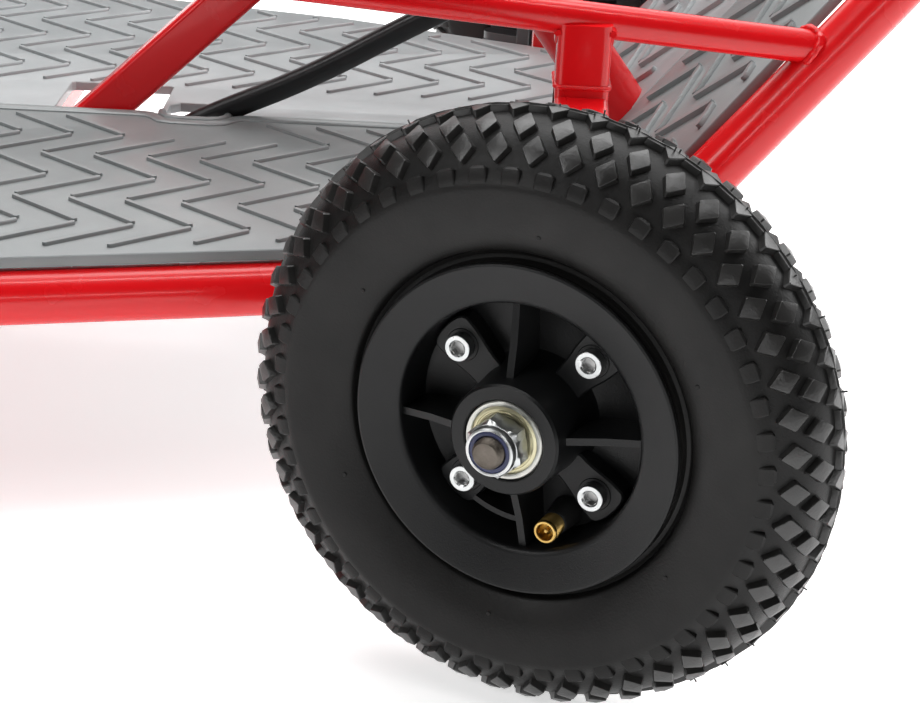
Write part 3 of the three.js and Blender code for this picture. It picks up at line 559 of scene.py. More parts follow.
HUB_OUTER_FACE, HUB_INNER_FACE = 28.5, 26.0
BORE_R = 10.5
RIM_WALL_R = 40.4
DISH_Z = 1.4
SCREW_PHASE = 50.0                     # degrees from the wheel's x axis to the first screw
SCREW_CIRCLE_R = 31.5
SCREW_TURN = 17                        # each screw stands turned by this many degrees more


def screw_place(k):
    return Matrix.Translation((*polar(SCREW_CIRCLE_R, SCREW_PHASE + 90 * k), 0))


def rim_outline(hub_face):
    return [(BORE_R, 0.15), (46.5, 0.15), (49.0, 4), (49.4, 16.6), (50.2, 17.9), (53.9, 18.9), (54.8, 19.6),
            (55.0, 20.5), (54.7, 21.2), (54.0, 21.5), (53.0, 21.3), (48.0, 19.7), (43.2, 18.5), (42.0, 18.1),
            (41.3, 17.4), (41.0, 16.2), (RIM_WALL_R, 4), (39.6, 2.2), (38.0, DISH_Z), (24.0, DISH_Z),
            (21.6, 2.2), (20.2, 4.2), (19.2, 10), (18.3, hub_face - 1.0), (17.6, hub_face),
            (13.7, hub_face), (13.3, hub_face - 0.4), (13.3, hub_face - 8.3), (BORE_R, hub_face - 8.3)]


def rim_shape(hub_face, screw_pads):
    """One half of the split rim: flange, dished wall, hub, ribs and the pads under the screws."""
    shape = Shape().lathe(rim_outline(hub_face), 128)
    pad_edge = ((17.5, 19), (24, 14), (33, 13.5), (40.6, 11))
    for k in range(4):
        pad = SCREW_PHASE + 90 * k
        rib = axis_frame((0, 0, 0), (0, 0, 1), (*polar(1, pad + 45), 0))
        on_edge = rib @ Matrix.Rotation(radians(90), 4, "X")
        shape.prism([(18, 0.5), (41, 0.5), (41, 15.8), (30, 18.2), (18, min(hub_face - 2.5, 22.5))],
                    -1.2, 1.2, place=on_edge)
        if screw_pads:
            outline = ([polar(radius, pad - half) for radius, half in pad_edge]
                       + [polar(radius, pad + half) for radius, half in reversed(pad_edge)])
            shape.prism(softened(outline), 0.8, 8.9, 0.6)
            shape.rod(5.6, 8.0, 9.15, 0.3, 32, screw_place(k))
    inner_arc = [polar(33.2, a) for a in range(-118, -90, 3)]
    outer_arc = [polar(34.6, a) for a in range(-91, -119, -3)]
    shape.prism(inner_arc + outer_arc, 1.0, 12.0, 0.2)
    return shape


def hexagon_ring(sides, turn, radius, z, flats=None):
    """Points round Z at a radius, cut back to six flats if their distance from the axis is given."""
    points = []
    for a in whole_turn(sides):
        to_flat = cos((a + pi / 6) % (pi / 3) - pi / 6)
        reach = min(radius, flats / to_flat) if flats else radius
        points.append((*polar(reach, degrees(a) + turn), z))
    return points


def screw_shape(k):
    """A socket-head cap screw: knurled head, chamfered rim and a hexagonal socket."""
    head, shank, socket = 4.4, 2.4, 2.35

    def ring(radius, z, flats=None):
        return hexagon_ring(36, SCREW_TURN * k, radius, z, flats)

    def knurled(z):
        points = []
        for i, (x, y, _) in enumerate(ring(head, z)):
            scale = 1 - 0.02 * (i % 2)
            points.append((x * scale, y * scale, z))
        return points

    rings = [ring(shank, 8.2), ring(shank, 9.3), knurled(9.3), knurled(12.6), ring(head - 0.06, 12.95),
             ring(head - 0.25, 13.1), ring(2.85, 13.1)]
    for scale, z in ((1.12, 12.7), (1.08, 10.0)):
        corner = socket * scale
        rings.append(ring(corner, z, corner * cos(pi / 6)))
    return Shape().rings(rings, False, screw_place(k))


def socket_shape(k):
    """A dark zinc lining inside the screw's socket: painted shade of the recess."""
    wall = [[(*polar(r, 60 * i + SCREW_TURN * k), z) for i in range(6)]
            for r, z in ((2.75, 10.05), (2.5, 10.05), (2.5, 12.55), (2.75, 12.55))]
    place = screw_place(k)
    return Shape().rings(wall, True, place).rod(2.4, 10.0, 10.25, 0.1, 24, place)


def below_hub_face(profile):
    return [(radius, HUB_OUTER_FACE - depth) for radius, depth in profile]


def bearing_race_shape():
    """The outer and inner races of the bearing in the hub."""
    outer = [(11.2, 1.2), (11.2, 0.35), (11.6, 0.1), (12.6, 0.1), (13.0, 0.5), (13.0, 7.9), (11.2, 7.9)]
    inner = [(5.3, 7.9), (5.3, 0.3), (5.6, 0.1), (7.6, 0.1), (7.9, 0.4), (7.9, 7.9)]
    return Shape().lathe(below_hub_face(outer), 96).lathe(below_hub_face(inner), 96)


def bearing_shield_shape():
    outline = [(8.1, 1.3), (8.1, 0.75), (8.5, 0.6), (9.2, 0.55), (9.4, 0.8), (9.8, 0.8), (10.0, 0.55),
               (10.6, 0.62), (10.9, 0.85), (11.15, 0.85), (11.15, 1.3)]
    return Shape().lathe(below_hub_face(outline), 96)


def nut_shape():
    """A lock nut: hexagon with rounded corners, a collar and its rolled rim round the nylon insert."""
    base, top, collar = 28.7, 36.4, 39.0
    bore, flats = 5.25, 8.5
    profile = ((bore, base), (8.3, base), (9.75, base + 0.9, flats), (9.75, top - 0.9, flats), (8.4, top),
               (8.2, top + 0.1), (8.2, collar - 1.1), (7.9, collar - 0.3), (7.3, collar),
               (6.9, collar - 0.1), (6.75, collar - 0.6), (bore, collar - 0.7))
    return Shape().rings([hexagon_ring(72, 11, *row) for row in profile])


def nylon_shape():
    outline = [(5.1, 36.5), (6.8, 36.5), (6.8, 38.5), (6.4, 38.75), (5.5, 38.7), (5.1, 38.2)]
    return Shape().lathe(outline, 64)


def thread(crest, root, start, stop, pitch):
    """The profile of a screw thread: crest and root in turn, one pair to each pitch."""
    profile = []
    z = start
    while z < stop:
        profile += [(crest, z), (root, z + pitch / 2)]
        z += pitch
    return profile


def axle_end_shape(start):
    """The threaded end of the axle, with a chamfered and slightly dished face."""
    end = 41.8
    profile = [(4.6, start), (4.9, start + 0.3), (4.9, 28.0)]
    profile += thread(5.0, 4.65, 28.4, end - 1.6, 0.75)
    profile += [(4.95, end - 1.3), (4.3, end - 0.2), (4.0, end), (3.6, end - 0.05)]
    return Shape().turned(profile, 48)


VALVE_PLACE = Matrix.Translation((*polar(34.3, -68.7), 0))


def valve_shape():
    """A tyre valve: threaded brass stem with a hollow end and the core's pin inside it."""
    tip = 20.0
    profile = [(3.3, 10.0), (3.5, 12.5)]
    profile += thread(3.85, 3.55, 12.8, tip - 1.6, 0.7)
    profile += [(3.8, tip - 1.3), (3.8, tip - 0.3), (3.55, tip), (2.95, tip), (2.75, tip - 0.4),
                (2.7, tip - 4.5)]
    return Shape().turned(profile, 40, VALVE_PLACE).rod(0.7, tip - 4.6, tip - 0.8, 0.25, 16, VALVE_PLACE)


def valve_base_shape():
    """The rubber boot that the stem is moulded into."""
    outline = [(2.0, 1.0), (5.2, 1.0), (5.0, 4.0), (4.5, 8.0), (4.2, 11.6), (3.9, 12.3), (3.4, 12.5),
               (2.0, 12.5)]
    return Shape().lathe(outline, 40, VALVE_PLACE)


def wheel_place(joint):
    """The wheel's own frame: z outboard along the axle, and y up on the right or down on the left."""
    outboard = Vector(joint["axis"]).normalized()
    up = Vector((0, 0, 1 if outboard.y < 0 else -1))
    across = up.cross(outboard).normalized()
    return frame_at(Vector(joint["pos_m"]), across, outboard.cross(across), outboard)


OUTER_RIM, INNER_RIM = rim_shape(HUB_OUTER_FACE, True), rim_shape(HUB_INNER_FACE, False)
TURNED_OVER = Matrix.Diagonal((1, -1, -1, 1))
SHARED = {"tyre": tyre_shape(), "front": tread_shape(34), "rear": tread_shape(0),
          "outer": OUTER_RIM, "inner": Shape().add(INNER_RIM.vertices, INNER_RIM.faces, TURNED_OVER)}


def add_wheel(corner, axle_body):
    place = wheel_place(joints[f"spin_{corner}"])
    complete = corner == "front_right"
    axle_start = 27 if axle_body == "chassis" else -27.5

    def add(name, shape, material, replaces="", sharp=38, on=f"wheel_{corner}"):
        replaced = (replaces.format(corner),) if replaces else ()
        make_piece(f"{corner}_{name}", shape, material, on, replaced, place, sharp)

    add("tyre", SHARED["tyre"], TYRE, "tyre_{}", 30)
    add("tread", SHARED[corner.split("_")[0]], TREAD_PAINTED_LIGHT, sharp=30)
    add("rim_outer", SHARED["outer"], RIM, "rim_outer_{}", 32)
    add("rim_inner", SHARED["inner"], RIM, "rim_inner_{}", 32)
    add("valve", valve_shape(), BRASS, "valve_{}")
    add("valve_base", valve_base_shape(), GRIP)
    for k in range(4):
        add(f"screw_{k + 1}", screw_shape(k), ZINC, f"rim_screw_{{}}_{k + 1}" if complete else "", 25)
        add(f"screw_socket_{k + 1}", socket_shape(k), SOCKET_PAINTED_SHADE, sharp=25)
    add("bearing_races", bearing_race_shape(), STEEL, "bearing_outer_{}" if complete else "")
    add("bearing_shield", bearing_shield_shape(), SHIELD)
    add("nut", nut_shape(), ZINC, "axle_nut_{}", 22, axle_body)
    add("nut_insert", nylon_shape(), NYLON, on=axle_body)
    add("axle_end", axle_end_shape(axle_start), DARK_STEEL, on=axle_body)


add_wheel("front_right", "knuckle_right")
add_wheel("front_left", "knuckle_left")
add_wheel("rear_right", "chassis")
add_wheel("rear_left", "chassis")


# ---------- floor: drawn unrolled as [u, y] with z above the top, then bent up into the foot plate ----------

FLOOR_TOP = 106.0
FLOOR_DEPTH = 4.2
FLOOR_REAR_U = -372.0
FOLD_X = 345.3
FOLD_ANGLE = radians(50)
FOLD_R = 9.0
FOLD_START = FOLD_X - FOLD_R * tan(FOLD_ANGLE / 2)
FOLD_ARC = FOLD_R * FOLD_ANGLE
FOOT_PLATE_END = FOLD_X + 149.0
SEAM_Y = -12.0
SEAM_GAP = 0.2                         # from the seam's middle to each half
HALF_WIDTH = ((FLOOR_REAR_U, 245), (-20, 245), (216.6, 186.6), (345, 134), (FOOT_PLATE_END, 117))
BRACE_HOLE = ((100, 147), (SEAM_Y, 34))
CABLE_SLOT = ((150, 176), (-22, 6))
COLLAR_R = 15.0                        # the hole round the steering column


def bend_up(u, y, z):
    """From the unrolled floor to its place, in millimetres."""
    turn = min(max((u - FOLD_START) / FOLD_R, 0), FOLD_ANGLE)
    flat = min(u, FOLD_START)
    past = max(u - FOLD_START - FOLD_ARC, 0)
    reach = FOLD_R - z
    return Vector((flat + reach * sin(turn) + past * cos(turn), y,
                   FLOOR_TOP + FOLD_R - reach * cos(turn) + past * sin(turn)))


def half_width(u):
    for (u0, w0), (u1, w1) in zip(HALF_WIDTH, HALF_WIDTH[1:]):
        if u <= u1:
            return w0 + (w1 - w0) * (u - u0) / (u1 - u0)
    return HALF_WIDTH[-1][1]


def add_sheet(shape, outline):
    """A flat sheet with rounded top edges, cut across the fold so that it can bend."""
    work = bmesh.new()
    top = [work.verts.new((u, y, 0)) for u, y in outline]
    bottom = [work.verts.new((u, y, -FLOOR_DEPTH)) for u, y in outline]
    for face in tessellate_polygon([[Vector((u, y, 0)) for u, y in outline]]):
        work.faces.new([top[i] for i in face])
        work.faces.new([bottom[i] for i in reversed(face)])
    for a in range(len(outline)):
        b = (a + 1) % len(outline)
        work.faces.new((top[a], bottom[a], bottom[b], top[b]))
    bmesh.ops.recalc_face_normals(work, faces=work.faces)
    rim = [e for e in work.edges if all(abs(v.co.z) < 1e-6 for v in e.verts)
           and any(abs(f.normal.z) < 0.5 for f in e.link_faces)]
    bmesh.ops.bevel(work, geom=rim, offset=0.9, segments=3, profile=0.5, affect="EDGES")
    for step in range(9):
        u = FOLD_START + FOLD_ARC * step / 8
        bmesh.ops.bisect_plane(work, geom=work.verts[:] + work.edges[:] + work.faces[:], plane_co=(u, 0, 0),
                               plane_no=(1, 0, 0))
    work.verts.index_update()
    vertices = [bend_up(*v.co) for v in work.verts]
    faces = [[v.index for v in f.verts] for f in work.faces]
    work.free()
    shape.add(vertices, faces)


def slat(shape, start, end, width, height):
    """One raised leg of the tread pattern, with round ends and sloping sides."""
    run = Vector(end) - Vector(start)
    length = run.length
    run.normalize()
    side = Vector((-run.y, run.x))
    base = Vector(start)
    rings = []
    for level, half in ((-0.4, width / 2 + 0.1), (height * 0.6, width / 2 - 0.1), (height, width / 2 - 0.55)):
        ring = []
        for centre, first in ((half, 90), (length - half, -90)):
            for k in range(6):
                a = radians(first + 180 * k / 5)
                offset = run * (centre + half * cos(a)) + side * (half * sin(a))
                ring.append((base + offset, level))
        rings.append([bend_up(p.x, p.y, level) for p, level in ring])
    shape.rings(rings, False)


CHEVRON_PITCH = 22.0
CHEVRON_REACH = 31.9
CHEVRON_ROW = 28.9
TIP_GAP = 1.9
CHEVRON_ORIGIN = (94.5, -52.4)


def clip_leg(start, end, allowed):
    """The longest stretch of a leg whose points are allowed, or None."""
    steps = 40
    points = [Vector(start).lerp(Vector(end), k / steps) for k in range(steps + 1)]
    best, run = [], []
    for point in points:
        run = run + [point] if allowed(point.x, point.y) else []
        if len(run) > len(best):
            best = run
    if len(best) < 2 or (best[-1] - best[0]).length < 7:
        return None
    return best[0], best[-1]


def chevrons(shape, origin, rows, allowed):
    """Zigzag legs in rows across Y. Even rows hold the forward tips and odd rows the rear tips."""
    for row in rows:
        for column in range(-22, 21):
            ends = []
            for j in (row, row + 1):
                back = CHEVRON_REACH if j % 2 else 0
                ends.append((origin[0] + CHEVRON_PITCH * column - back, origin[1] - CHEVRON_ROW * j))
            leg = clip_leg(*ends, allowed)
            if not leg:
                continue
            start, end = leg
            run = (end - start).normalized() * TIP_GAP
            width, height = (3.8, 2.0) if start.x > FOLD_START else (3.0, 1.25)
            slat(shape, start + run, end - run, width, height)


LIP_WIDTH = 7.0
BORDER = 46.0                          # the plain strip beside the seam on the far half
EDGE_MARGIN = 7.0


def clear_of_all(u, y):
    """Whether a leg may pass here: off the fold, the floor's ends and the foot of the column."""
    flat = u < FOLD_START - 4 or u > FOLD_START + FOLD_ARC + 6
    ends = FLOOR_REAR_U + 8 < u < FOOT_PLATE_END - EDGE_MARGIN
    return flat and ends and hypot(u - FOLD_X, y) > 26


def near_allowed(u, y):
    (u0, u1), (y0, y1) = CABLE_SLOT
    across = -half_width(u) + EDGE_MARGIN < y < SEAM_Y - LIP_WIDTH
    slope = CHEVRON_REACH / CHEVRON_ROW
    beside_slot = y > CHEVRON_ORIGIN[1] and 149 < u + slope * (y - CHEVRON_ORIGIN[1]) < 215
    in_slot = u0 - 6 < u < u1 + 6 and y0 - 6 < y < y1 + 6
    return clear_of_all(u, y) and across and not beside_slot and not in_slot


def far_allowed(u, y):
    inner = SEAM_Y + BORDER if u < FOLD_START else SEAM_Y + 5
    return clear_of_all(u, y) and inner < y < half_width(u) - EDGE_MARGIN


def collar_arc(start, stop, step):
    """Points round the steering column, from one angle in degrees to another."""
    around = (polar(COLLAR_R, a) for a in range(start, stop, step))
    return [(FOLD_X + x, y) for x, y in around]


def near_outline():
    edge = [(u, -w) for u, w in HALF_WIDTH]
    (u0, u1), (y0, _) = CABLE_SLOT
    seam = SEAM_Y - SEAM_GAP
    notch = [(u1, SEAM_Y), (u1 - 3, y0 + 1.5), (u1 - 7, y0), (u0 + 7, y0), (u0 + 3, y0 + 1.5), (u0, SEAM_Y)]
    return edge + [(FOOT_PLATE_END, seam)] + collar_arc(-53, -128, -10) + notch + [(FLOOR_REAR_U, seam)]


def far_outline():
    edge = [(u, w) for u, w in reversed(HALF_WIDTH)]
    (u0, u1), (_, y1) = CABLE_SLOT
    (h0, h1), (_, g1) = BRACE_HOLE
    seam = SEAM_Y + SEAM_GAP
    slot = [(u0, SEAM_Y), (u0, y1 - 4), (u0 + 4, y1), (u1 - 4, y1), (u1, y1 - 4), (u1, SEAM_Y)]
    hole = [(h0, SEAM_Y), (h0, g1 - 1.5), (h0 + 1.5, g1), (h1 - 1.5, g1), (h1, g1 - 1.5), (h1, SEAM_Y)]
    return edge + [(FLOOR_REAR_U, seam)] + hole + slot + collar_arc(233, -54, -13) + [(FOOT_PLATE_END, seam)]


def bead(shape, path, half, height):
    """A low rounded bead that lies on the floor along a path of [u, y] points."""
    route = [Vector(point) for point in path]
    rings = []
    for i, here in enumerate(route):
        ahead = heading(route, i)
        side = Vector((-ahead.y, ahead.x))
        ring = []
        for k in range(11):
            a = pi * k / 10
            p = here + side * half * cos(a)
            ring.append(bend_up(p.x, p.y, height * sin(a) ** 0.8 - 0.2 * (k in (0, 10))))
        foot = side * half * 0.9
        ring += [bend_up(*(here - foot), -1.2), bend_up(*(here + foot), -1.2)]
        rings.append(ring)
    shape.rings(rings, False)


def slot_rim():
    """A crisp raised rim on the near side of the cable slot."""
    (u0, u1), (y0, _) = CABLE_SLOT
    edge = y0 - 1.4
    return [(u0 - 1.8, SEAM_Y - 1), (u0 - 1.2, edge + 5), (u0 + 1.5, edge + 1.5), (u0 + 7, edge),
            (u1 - 7, edge), (u1 - 1.5, edge + 1.5), (u1 + 1.2, edge + 5), (u1 + 1.8, SEAM_Y - 1)]


def seam_path():
    """The raised lip of the near half: along the seam and round the cable slot."""
    centre = SEAM_Y - LIP_WIDTH / 2
    (u0, u1), (y0, _) = CABLE_SLOT
    dip = y0 - LIP_WIDTH / 2
    path = [(u, centre) for u in range(int(FLOOR_REAR_U), int(u0) - 12, 24)]
    path += [(u0 - 12, centre), (u0 - 7, centre - 1), (u0 - 3.5, centre - 4), (u0, dip + 1), (u0 + 5, dip),
             (u1 - 5, dip), (u1, dip + 1), (u1 + 3.5, centre - 4), (u1 + 7, centre - 1), (u1 + 12, centre)]
    path += [(u, centre) for u in range(int(u1) + 20, int(FOLD_X) - 22, 12)]
    return path


def add_floor():
    near, far = Shape(), Shape()
    add_sheet(near, near_outline())
    add_sheet(far, far_outline())
    bead(near, seam_path(), LIP_WIDTH / 2, 1.3)
    bead(near, slot_rim(), 1.9, 2.4)
    make_piece("floor_near_half", near, FLOOR, "chassis", ("floor_right",), sharp=28)
    make_piece("floor_far_half", far, FAR_FLOOR, "chassis", ("floor_left",), sharp=28)
    near_ribs, far_ribs = Shape(), Shape()
    chevrons(near_ribs, CHEVRON_ORIGIN, range(-1, 8), near_allowed)
    far_origin = (CHEVRON_ORIGIN[0], CHEVRON_ORIGIN[1] + 6 * CHEVRON_ROW)
    chevrons(far_ribs, far_origin, range(-5, 4), far_allowed)
    make_piece("floor_near_tread", near_ribs, FLOOR, "chassis", sharp=40)
    make_piece("floor_far_tread", far_ribs, FAR_FLOOR, "chassis", sharp=40)


add_floor()


# ---------- frame tubes ----------

RAIL_R = 10.5
RAIL_Z = 90.0
GUARD_R = 6.5
RAIL_PATH = ((-376.7, -243, RAIL_Z), (-20, -243, RAIL_Z), (216.6, -184.4, RAIL_Z), (346, -142, RAIL_Z),
             (382, -136, 130.5), (427, -128, 181.7), (462, -121.5, 222))
GUARD_PATH = ((423.7, -128.6, 177.8), (325.6, -157, 191.5), (181.3, -198, 212), (-20, -248, 224),
              (-330, -248, 224), (-390, -248, 170), (-390, -248, 113.5))
NOSE_CORNER_X = 488.0
KINGPIN = Vector((330, 271.1, 100))
ARM_X = KINGPIN.x - 4.5
ARM_HALF = 10.0                        # the arms and posts are 20 mm square
ARM_SPAN_X = (ARM_X - ARM_HALF, ARM_X + ARM_HALF)
ARM_TOP = 168.0
ARM_DROP = 24.0
ARM_INNER_Y, ARM_OUTER_Y = KINGPIN.y - 124.5, KINGPIN.y - 9.5
POST_Y = 156.6
POST_TOP = 191.0
POST_WELD_Z = 186.5
COLUMN_FOOT = Vector((350.6, 0, 117))
COLUMN_LEAN = radians(53.5)
COLUMN_AXIS = Vector((-cos(COLUMN_LEAN), 0, sin(COLUMN_LEAN)))
COLUMN_R = 13.0
COLUMN_LENGTH = 400.0
BRACE_DECK_X = 122.9
BRACE_LEAN = radians(43.5)
MEMBER_AT = Vector((72, 0, 74))
REAR_AXLE = Vector((-390, 0, 100))


def on_side(points, side):
    return [(x, -side * y, z) for x, y, z in points]


def kingpin_at(side):
    return Vector((KINGPIN.x, side * KINGPIN.y, KINGPIN.z))


def mirrored(side, near, far):
    """A range across the cart, from its distances from the middle on one side."""
    return sorted((side * near, side * far))


def frame_piece(name, shape, replaced):
    make_piece(name, shape, RED, "chassis", (replaced,))


def weld(shape, at, normal, radius, thickness, lean=0.0):
    """A rippled ring of weld metal about an axis."""
    place = axis_frame(at, normal)
    rings = []
    for a in whole_turn(96):
        ripple = 1 + 0.09 * sin(13 * a) + 0.07 * sin(5 * a + 1)
        centre = Vector((radius * cos(a), radius * sin(a), lean * cos(2 * a)))
        out = Vector((cos(a), sin(a), 0))
        rings.append([centre + thickness * ripple * (out * cos(b) + Vector((0, 0, 1)) * sin(b))
                      for b in whole_turn(10)])
    shape.rings(rings, True, place)


def add_rails(side, name):
    """The lower rail that rises to the nose, and the thinner wheel guard above it."""
    rail = Shape().tube(bent_route(on_side(RAIL_PATH, side), 30), RAIL_R, 40)
    frame_piece(f"lower_rail_tube_{name}", rail, f"lower_rail_{name}")
    guard_route = bent_route(on_side(GUARD_PATH, side), 55)
    guard = Shape().tube(guard_route, GUARD_R, 32)
    toward = (guard_route[1] - guard_route[0]).normalized()
    weld(guard, guard_route[0] + toward * 11.5, toward, GUARD_R + 0.2, 1.7, lean=1.6)
    weld(guard, guard_route[-1], (0, 0, 1), GUARD_R + 0.3, 1.5)
    frame_piece(f"upper_rail_tube_{name}", guard, f"upper_rail_{name}")


def add_axle_arm(side, name):
    """The square arm from the rail out to the kingpin's sleeve, and its short upright."""
    slope = atan2(ARM_DROP, ARM_OUTER_Y - ARM_INNER_Y)
    start = Vector((ARM_X, side * (ARM_INNER_Y + 1), ARM_TOP - ARM_HALF))
    end = Vector((ARM_X, side * ARM_OUTER_Y, ARM_TOP - ARM_DROP - ARM_HALF))
    thin = ARM_HALF * cos(slope)
    arm = Shape().block((-ARM_HALF, ARM_HALF), (-thin, thin), (0, (end - start).length), 2.4,
                        axis_frame(start, end - start, (1, 0, 0)))
    upright_y = mirrored(side, ARM_INNER_Y, ARM_INNER_Y + 2 * ARM_HALF)
    arm.block(ARM_SPAN_X, upright_y, (RAIL_Z + 8, ARM_TOP - 0.6), 2.4)
    sleeve = [(5.3, -3.6), (11.2, -3.6), (11.5, -3.3), (11.5, 47.8), (11.2, 48.1), (5.3, 48.1)]
    arm.lathe(sleeve, 64, Matrix.Translation(kingpin_at(side)))
    foot = (ARM_X, side * (ARM_INNER_Y + ARM_HALF), RAIL_Z + 10.5)
    weld(arm, foot, (0, 0, 1), ARM_HALF + 1.5, 1.6, lean=2.0)
    frame_piece(f"axle_arm_tube_{name}", arm, f"axle_arm_{name}")


def add_post(side, name):
    """The square post from the arm up to the guard, with weld beads round its foot and its head."""
    (x0, x1), (y0, y1) = ARM_SPAN_X, (POST_Y - ARM_HALF, POST_Y + ARM_HALF)
    post = Shape().block(ARM_SPAN_X, mirrored(side, y0, y1), (ARM_TOP - 1, POST_TOP), 3.4)
    for face_x in ARM_SPAN_X:
        middle = Vector((face_x, side * POST_Y, POST_WELD_Z))
        saddle = [middle + Vector((0, side * w * 9.4, 1.5 - 5.2 * (1 - abs(w)) ** 2))
                  for w in (k / 8 - 1 for k in range(17))]
        post.tube(saddle, 1.1, 10)
    foot = [(x, side * y, ARM_TOP - 0.4) for x, y in ((x0, y0), (x1, y0), (x1, y1), (x0, y1), (x0, y0))]
    post.tube(bent_route(foot, 2.5, 4), 1.0, 12)
    for face_x in ARM_SPAN_X:
        blob = [Vector((face_x, side * (POST_Y + w * 7), POST_WELD_Z + 1 + 1.2 * (1 - w * w)))
                for w in (-1, -0.5, 0, 0.5, 1)]
        post.tube(blob, 1.7, 10)
    frame_piece(f"arm_post_tube_{name}", post, f"arm_post_{name}")


REST_STEER = radians(-24.6)
EARS = ((-9.5, -4.0), (48.5, 54.0))    # heights of the two ears from the axle
WEB = (13.5, 18.0)
STEER_EYE_X = -35                      # the tie rod's stud, behind the kingpin
STEER_ARM_Z = (-24.5, -20)


def add_knuckle(side, name):
    """A forked black bracket that carries the axle, with the steering arm welded below it."""
    body = Shape()
    for low, high in EARS:
        body.lathe([(5.4, low), (12, low), (12, high), (5.4, high)], 64)
        body.block((-12, 12), mirrored(side, 6.2, WEB[0] + 1), (low, high), 0.6)
    body.block((-12, 12), mirrored(side, *WEB), (EARS[0][0], EARS[1][1]), 1.2)
    body.rod(8, WEB[1] - 1, WEB[1] + 0.9, 0.2, 40, axis_frame((0, 0, 0), (0, side, 0)))
    body.block((-19, -11), (-8, 8), (STEER_ARM_Z[0], EARS[0][1]), 1.0)
    rounded_end = [polar(7, 90 + 15 * k) for k in range(13)]
    body.prism([(-14, -7), (-14, 7)] + [(STEER_EYE_X + x, y) for x, y in rounded_end], *STEER_ARM_Z)
    stud = Matrix.Translation((STEER_EYE_X, 0, 0))
    body.rod(3, -37.5, -24, 0.3, 24, stud)
    body.rod(5.2, -39.5, -37, 0.4, 24, stud)
    place = Matrix.Translation(kingpin_at(side) * MM) @ Matrix.Rotation(REST_STEER, 4, "Z")
    knuckle = f"knuckle_{name}"
    make_piece(f"knuckle_body_{name}", body, BLACK, knuckle, (knuckle,), place, bevel=0.5)


def nose_route():
    before, last = Vector(RAIL_PATH[-2]), Vector(RAIL_PATH[-1])
    run = (last - before).normalized()
    start = last + run * 0.3
    corner = start + run * ((NOSE_CORNER_X - last.x) / run.x)
    points = [start, corner, Vector((corner.x, -corner.y, corner.z)), Vector((start.x, -start.y, start.z))]
    return bent_route(points, 26)


def on_column(distance):
    return COLUMN_FOOT + COLUMN_AXIS * distance


def add_column():
    """The housing of the steering shaft and the square brace that holds it."""
    bore = 9.6
    housing = Shape().lathe([(bore, -11.6), (12.6, -11.6), (COLUMN_R, -11.2), (COLUMN_R, COLUMN_LENGTH - 0.5),
                             (12.6, COLUMN_LENGTH), (bore, COLUMN_LENGTH)], 64,
                            axis_frame(COLUMN_FOOT, COLUMN_AXIS))
    frame_piece("column_tube", housing, "column_housing")
    brace_axis = Vector((cos(BRACE_LEAN), 0, sin(BRACE_LEAN)))
    brace = Shape().block((-10, 10), (-9, 9), (-34, 196), 2.4,
                          axis_frame((BRACE_DECK_X, 0, FLOOR_TOP), brace_axis, (0, 1, 0)))
    frame_piece("brace_tube", brace, "column_brace")


def add_cross_tubes():
    """The member under the floor and the rear beam with its stub axles."""
    across, forward = (0, 1, 0), (1, 0, 0)
    member = Shape().block((-10, 10), (-10, 10), (-205, 205), 2.2, axis_frame(MEMBER_AT, across, forward))
    frame_piece("cross_member_tube", member, "floor_cross_member")
    beam = Shape().block((-13, 13), (-13, 13), (-282, 282), 2.5, axis_frame(REAR_AXLE, across, forward))
    for side, _ in SIDES:
        stub = axis_frame(REAR_AXLE, (0, side, 0))
        beam.rod(8, 281, 285, 0.5, 40, stub)
        beam.rod(5, 284, 340, 0.5, 40, stub)
    frame_piece("rear_beam_tube", beam, "rear_axle_beam")


for side, name in SIDES:
    add_rails(side, name)
    add_axle_arm(side, name)
    add_post(side, name)
    add_knuckle(side, name)
frame_piece("nose_hoop", Shape().tube(nose_route(), RAIL_R, 40), "nose_tube")
add_column()
add_cross_tubes()


# ---------- handlebar and grips, drawn in the steering column's frame ----------

BAR_R = 11.0
BAR_HALF = 230.0
BAR_LEVEL = 424.0
GRIP_LEVEL = 458.0
GRIP_LENGTH = 105.0


def grip_shape(side):
    """A rubber grip with a flange, shallow finger rings and a domed end."""
    outline = [(BAR_R + 0.3, 0), (16.4, 0), (17, 0.8), (17, 3.2), (16.2, 4), (14.5, 5)]
    for k in range(18):
        z = 8 + 5 * k
        outline += [(14.5, z), (13.7, z + 0.8), (13.7, z + 2.2), (14.5, z + 3)]
    outline += [(14.5, GRIP_LENGTH - 3), (13.4, GRIP_LENGTH), (9, GRIP_LENGTH + 2.2), (0.2, GRIP_LENGTH + 3),
                (0.2, GRIP_LENGTH - 3), (BAR_R + 0.3, GRIP_LENGTH - 3)]
    at = (0, side * (BAR_HALF - GRIP_LENGTH + 4), GRIP_LEVEL)
    return Shape().lathe(outline, 48, axis_frame(at, (0, side, 0)))


def add_handlebar():
    place = (Matrix.Translation(COLUMN_FOOT * MM) @ Matrix.Rotation(COLUMN_LEAN - pi / 2, 4, "Y")
             @ Matrix.Rotation(REST_STEER, 4, "Z"))
    half = [(0, 62, BAR_LEVEL), (0, 96, GRIP_LEVEL), (0, BAR_HALF, GRIP_LEVEL)]
    path = [(0, -y, z) for _, y, z in reversed(half)] + half
    bar = Shape().tube(bent_route(path, 22), BAR_R, 40)
    bar.rod(COLUMN_R, 406.3, BAR_LEVEL, 0.5, 48)
    weld(bar, (0, 0, BAR_LEVEL - BAR_R + 1.5), (0, 0, 1), COLUMN_R - 0.8, 1.6, lean=1.5)
    make_piece("handlebar_tube", bar, RED, "steering", ("handlebar",), place=place)
    for side, name in SIDES:
        make_piece(f"handlebar_grip_{name}", grip_shape(side), GRIP, "steering", (f"grip_{name}",),
                   place=place, sharp=25)


add_handlebar()


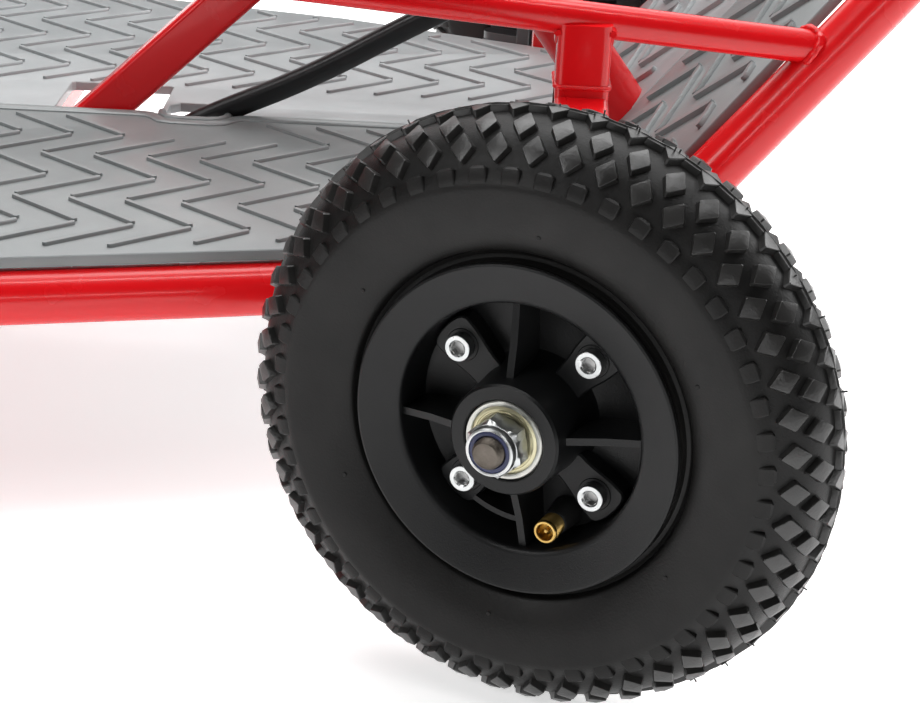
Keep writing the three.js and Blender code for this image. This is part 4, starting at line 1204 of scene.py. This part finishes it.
# ---------- brake shoe arm: it swings about a pin beside the rear left wheel ----------

BRAKE_PIVOT = Vector((-258, 312, 92))
SHOE_FACE_R = 104.5
SHOE_BACK_R = 110.0


def around_rear_axle(degrees, radius):
    """An [x, z] point about the rear axle, given from the brake's pivot."""
    x, z = polar(radius, degrees)
    return (REAR_AXLE.x + x - BRAKE_PIVOT.x, REAR_AXLE.z + z - BRAKE_PIVOT.z)


def add_brake_arm():
    """The rubber shoe that meets the tyre, and the lever that carries it."""
    place = axis_frame(BRAKE_PIVOT, (0, -1, 0), (1, 0, 0))
    angles = [7 + 1.25 * k for k in range(13)]
    face = [around_rear_axle(a, SHOE_FACE_R) for a in angles]
    back = [around_rear_axle(a, SHOE_BACK_R) for a in reversed(angles)]
    shoe = Shape().prism(face + back, -18, 18, 0.8, place)
    make_piece("brake_shoe", shoe, GRIP, "brake_arm", sharp=35)
    lever = Shape()
    lever.prism(softened([(-7, 0), (-6, -36), (6, -36), (7.5, 0), around_rear_axle(18, SHOE_BACK_R + 3),
                          around_rear_axle(18, SHOE_FACE_R + 2.5), around_rear_axle(10, SHOE_FACE_R + 2.5)]),
                -4.6, 4.6, 0.8, place)
    lever.lathe([(4.4, -12), (8.6, -12), (9, -11.6), (9, 11.6), (8.6, 12), (4.4, 12)], 48, place)
    make_piece("brake_lever_arm", lever, ZINC, "brake_arm", ("brake_arm",), sharp=35)


add_brake_arm()


# ---------- control cables: two in one sleeve, clamped to the chassis all the way ----------

CABLE_STOP = 339.7


def beside_column(distance):
    return on_column(distance) + Vector((0, -21, 0))


CABLE_PATH = ((-248, 312, 60), (-205, 312, 60), (-150, 262, 62), (-60, 150, 68), (20, 30, 84),
              (60, -14, 91.5), (112, -22, 91.5), (148, -14, 94.0), (170, -12, 106), (213, -12, 125.5),
              (262, -13, 154.5), (305, -20, 178.5),
              beside_column(140), beside_column(240), beside_column(CABLE_STOP))


def add_cables():
    """Two lobes side by side, one for each cable, that keep facing up and out along the route."""
    route = bent_route(CABLE_PATH, 38, 8)
    wish = Vector((-0.25, -0.5, 0.83))
    lobe, spread, sides = 3.3, 2.6, 12
    rings = []
    for i, point in enumerate(route):
        ahead = heading(route, i)
        across = (wish - ahead * wish.dot(ahead)).normalized()
        other = ahead.cross(across)
        ring = []
        for centre, first in ((spread, -70), (-spread, 110)):
            for k in range(sides):
                a = radians(first + 140 * k / (sides - 1))
                ring.append(point + across * (centre + lobe * cos(a)) + other * (lobe * sin(a)))
        rings.append(ring)
    make_piece("cable_sleeve", Shape().rings(rings, False), SLEEVE, "chassis", ("control_cables",), sharp=60)


add_cables()
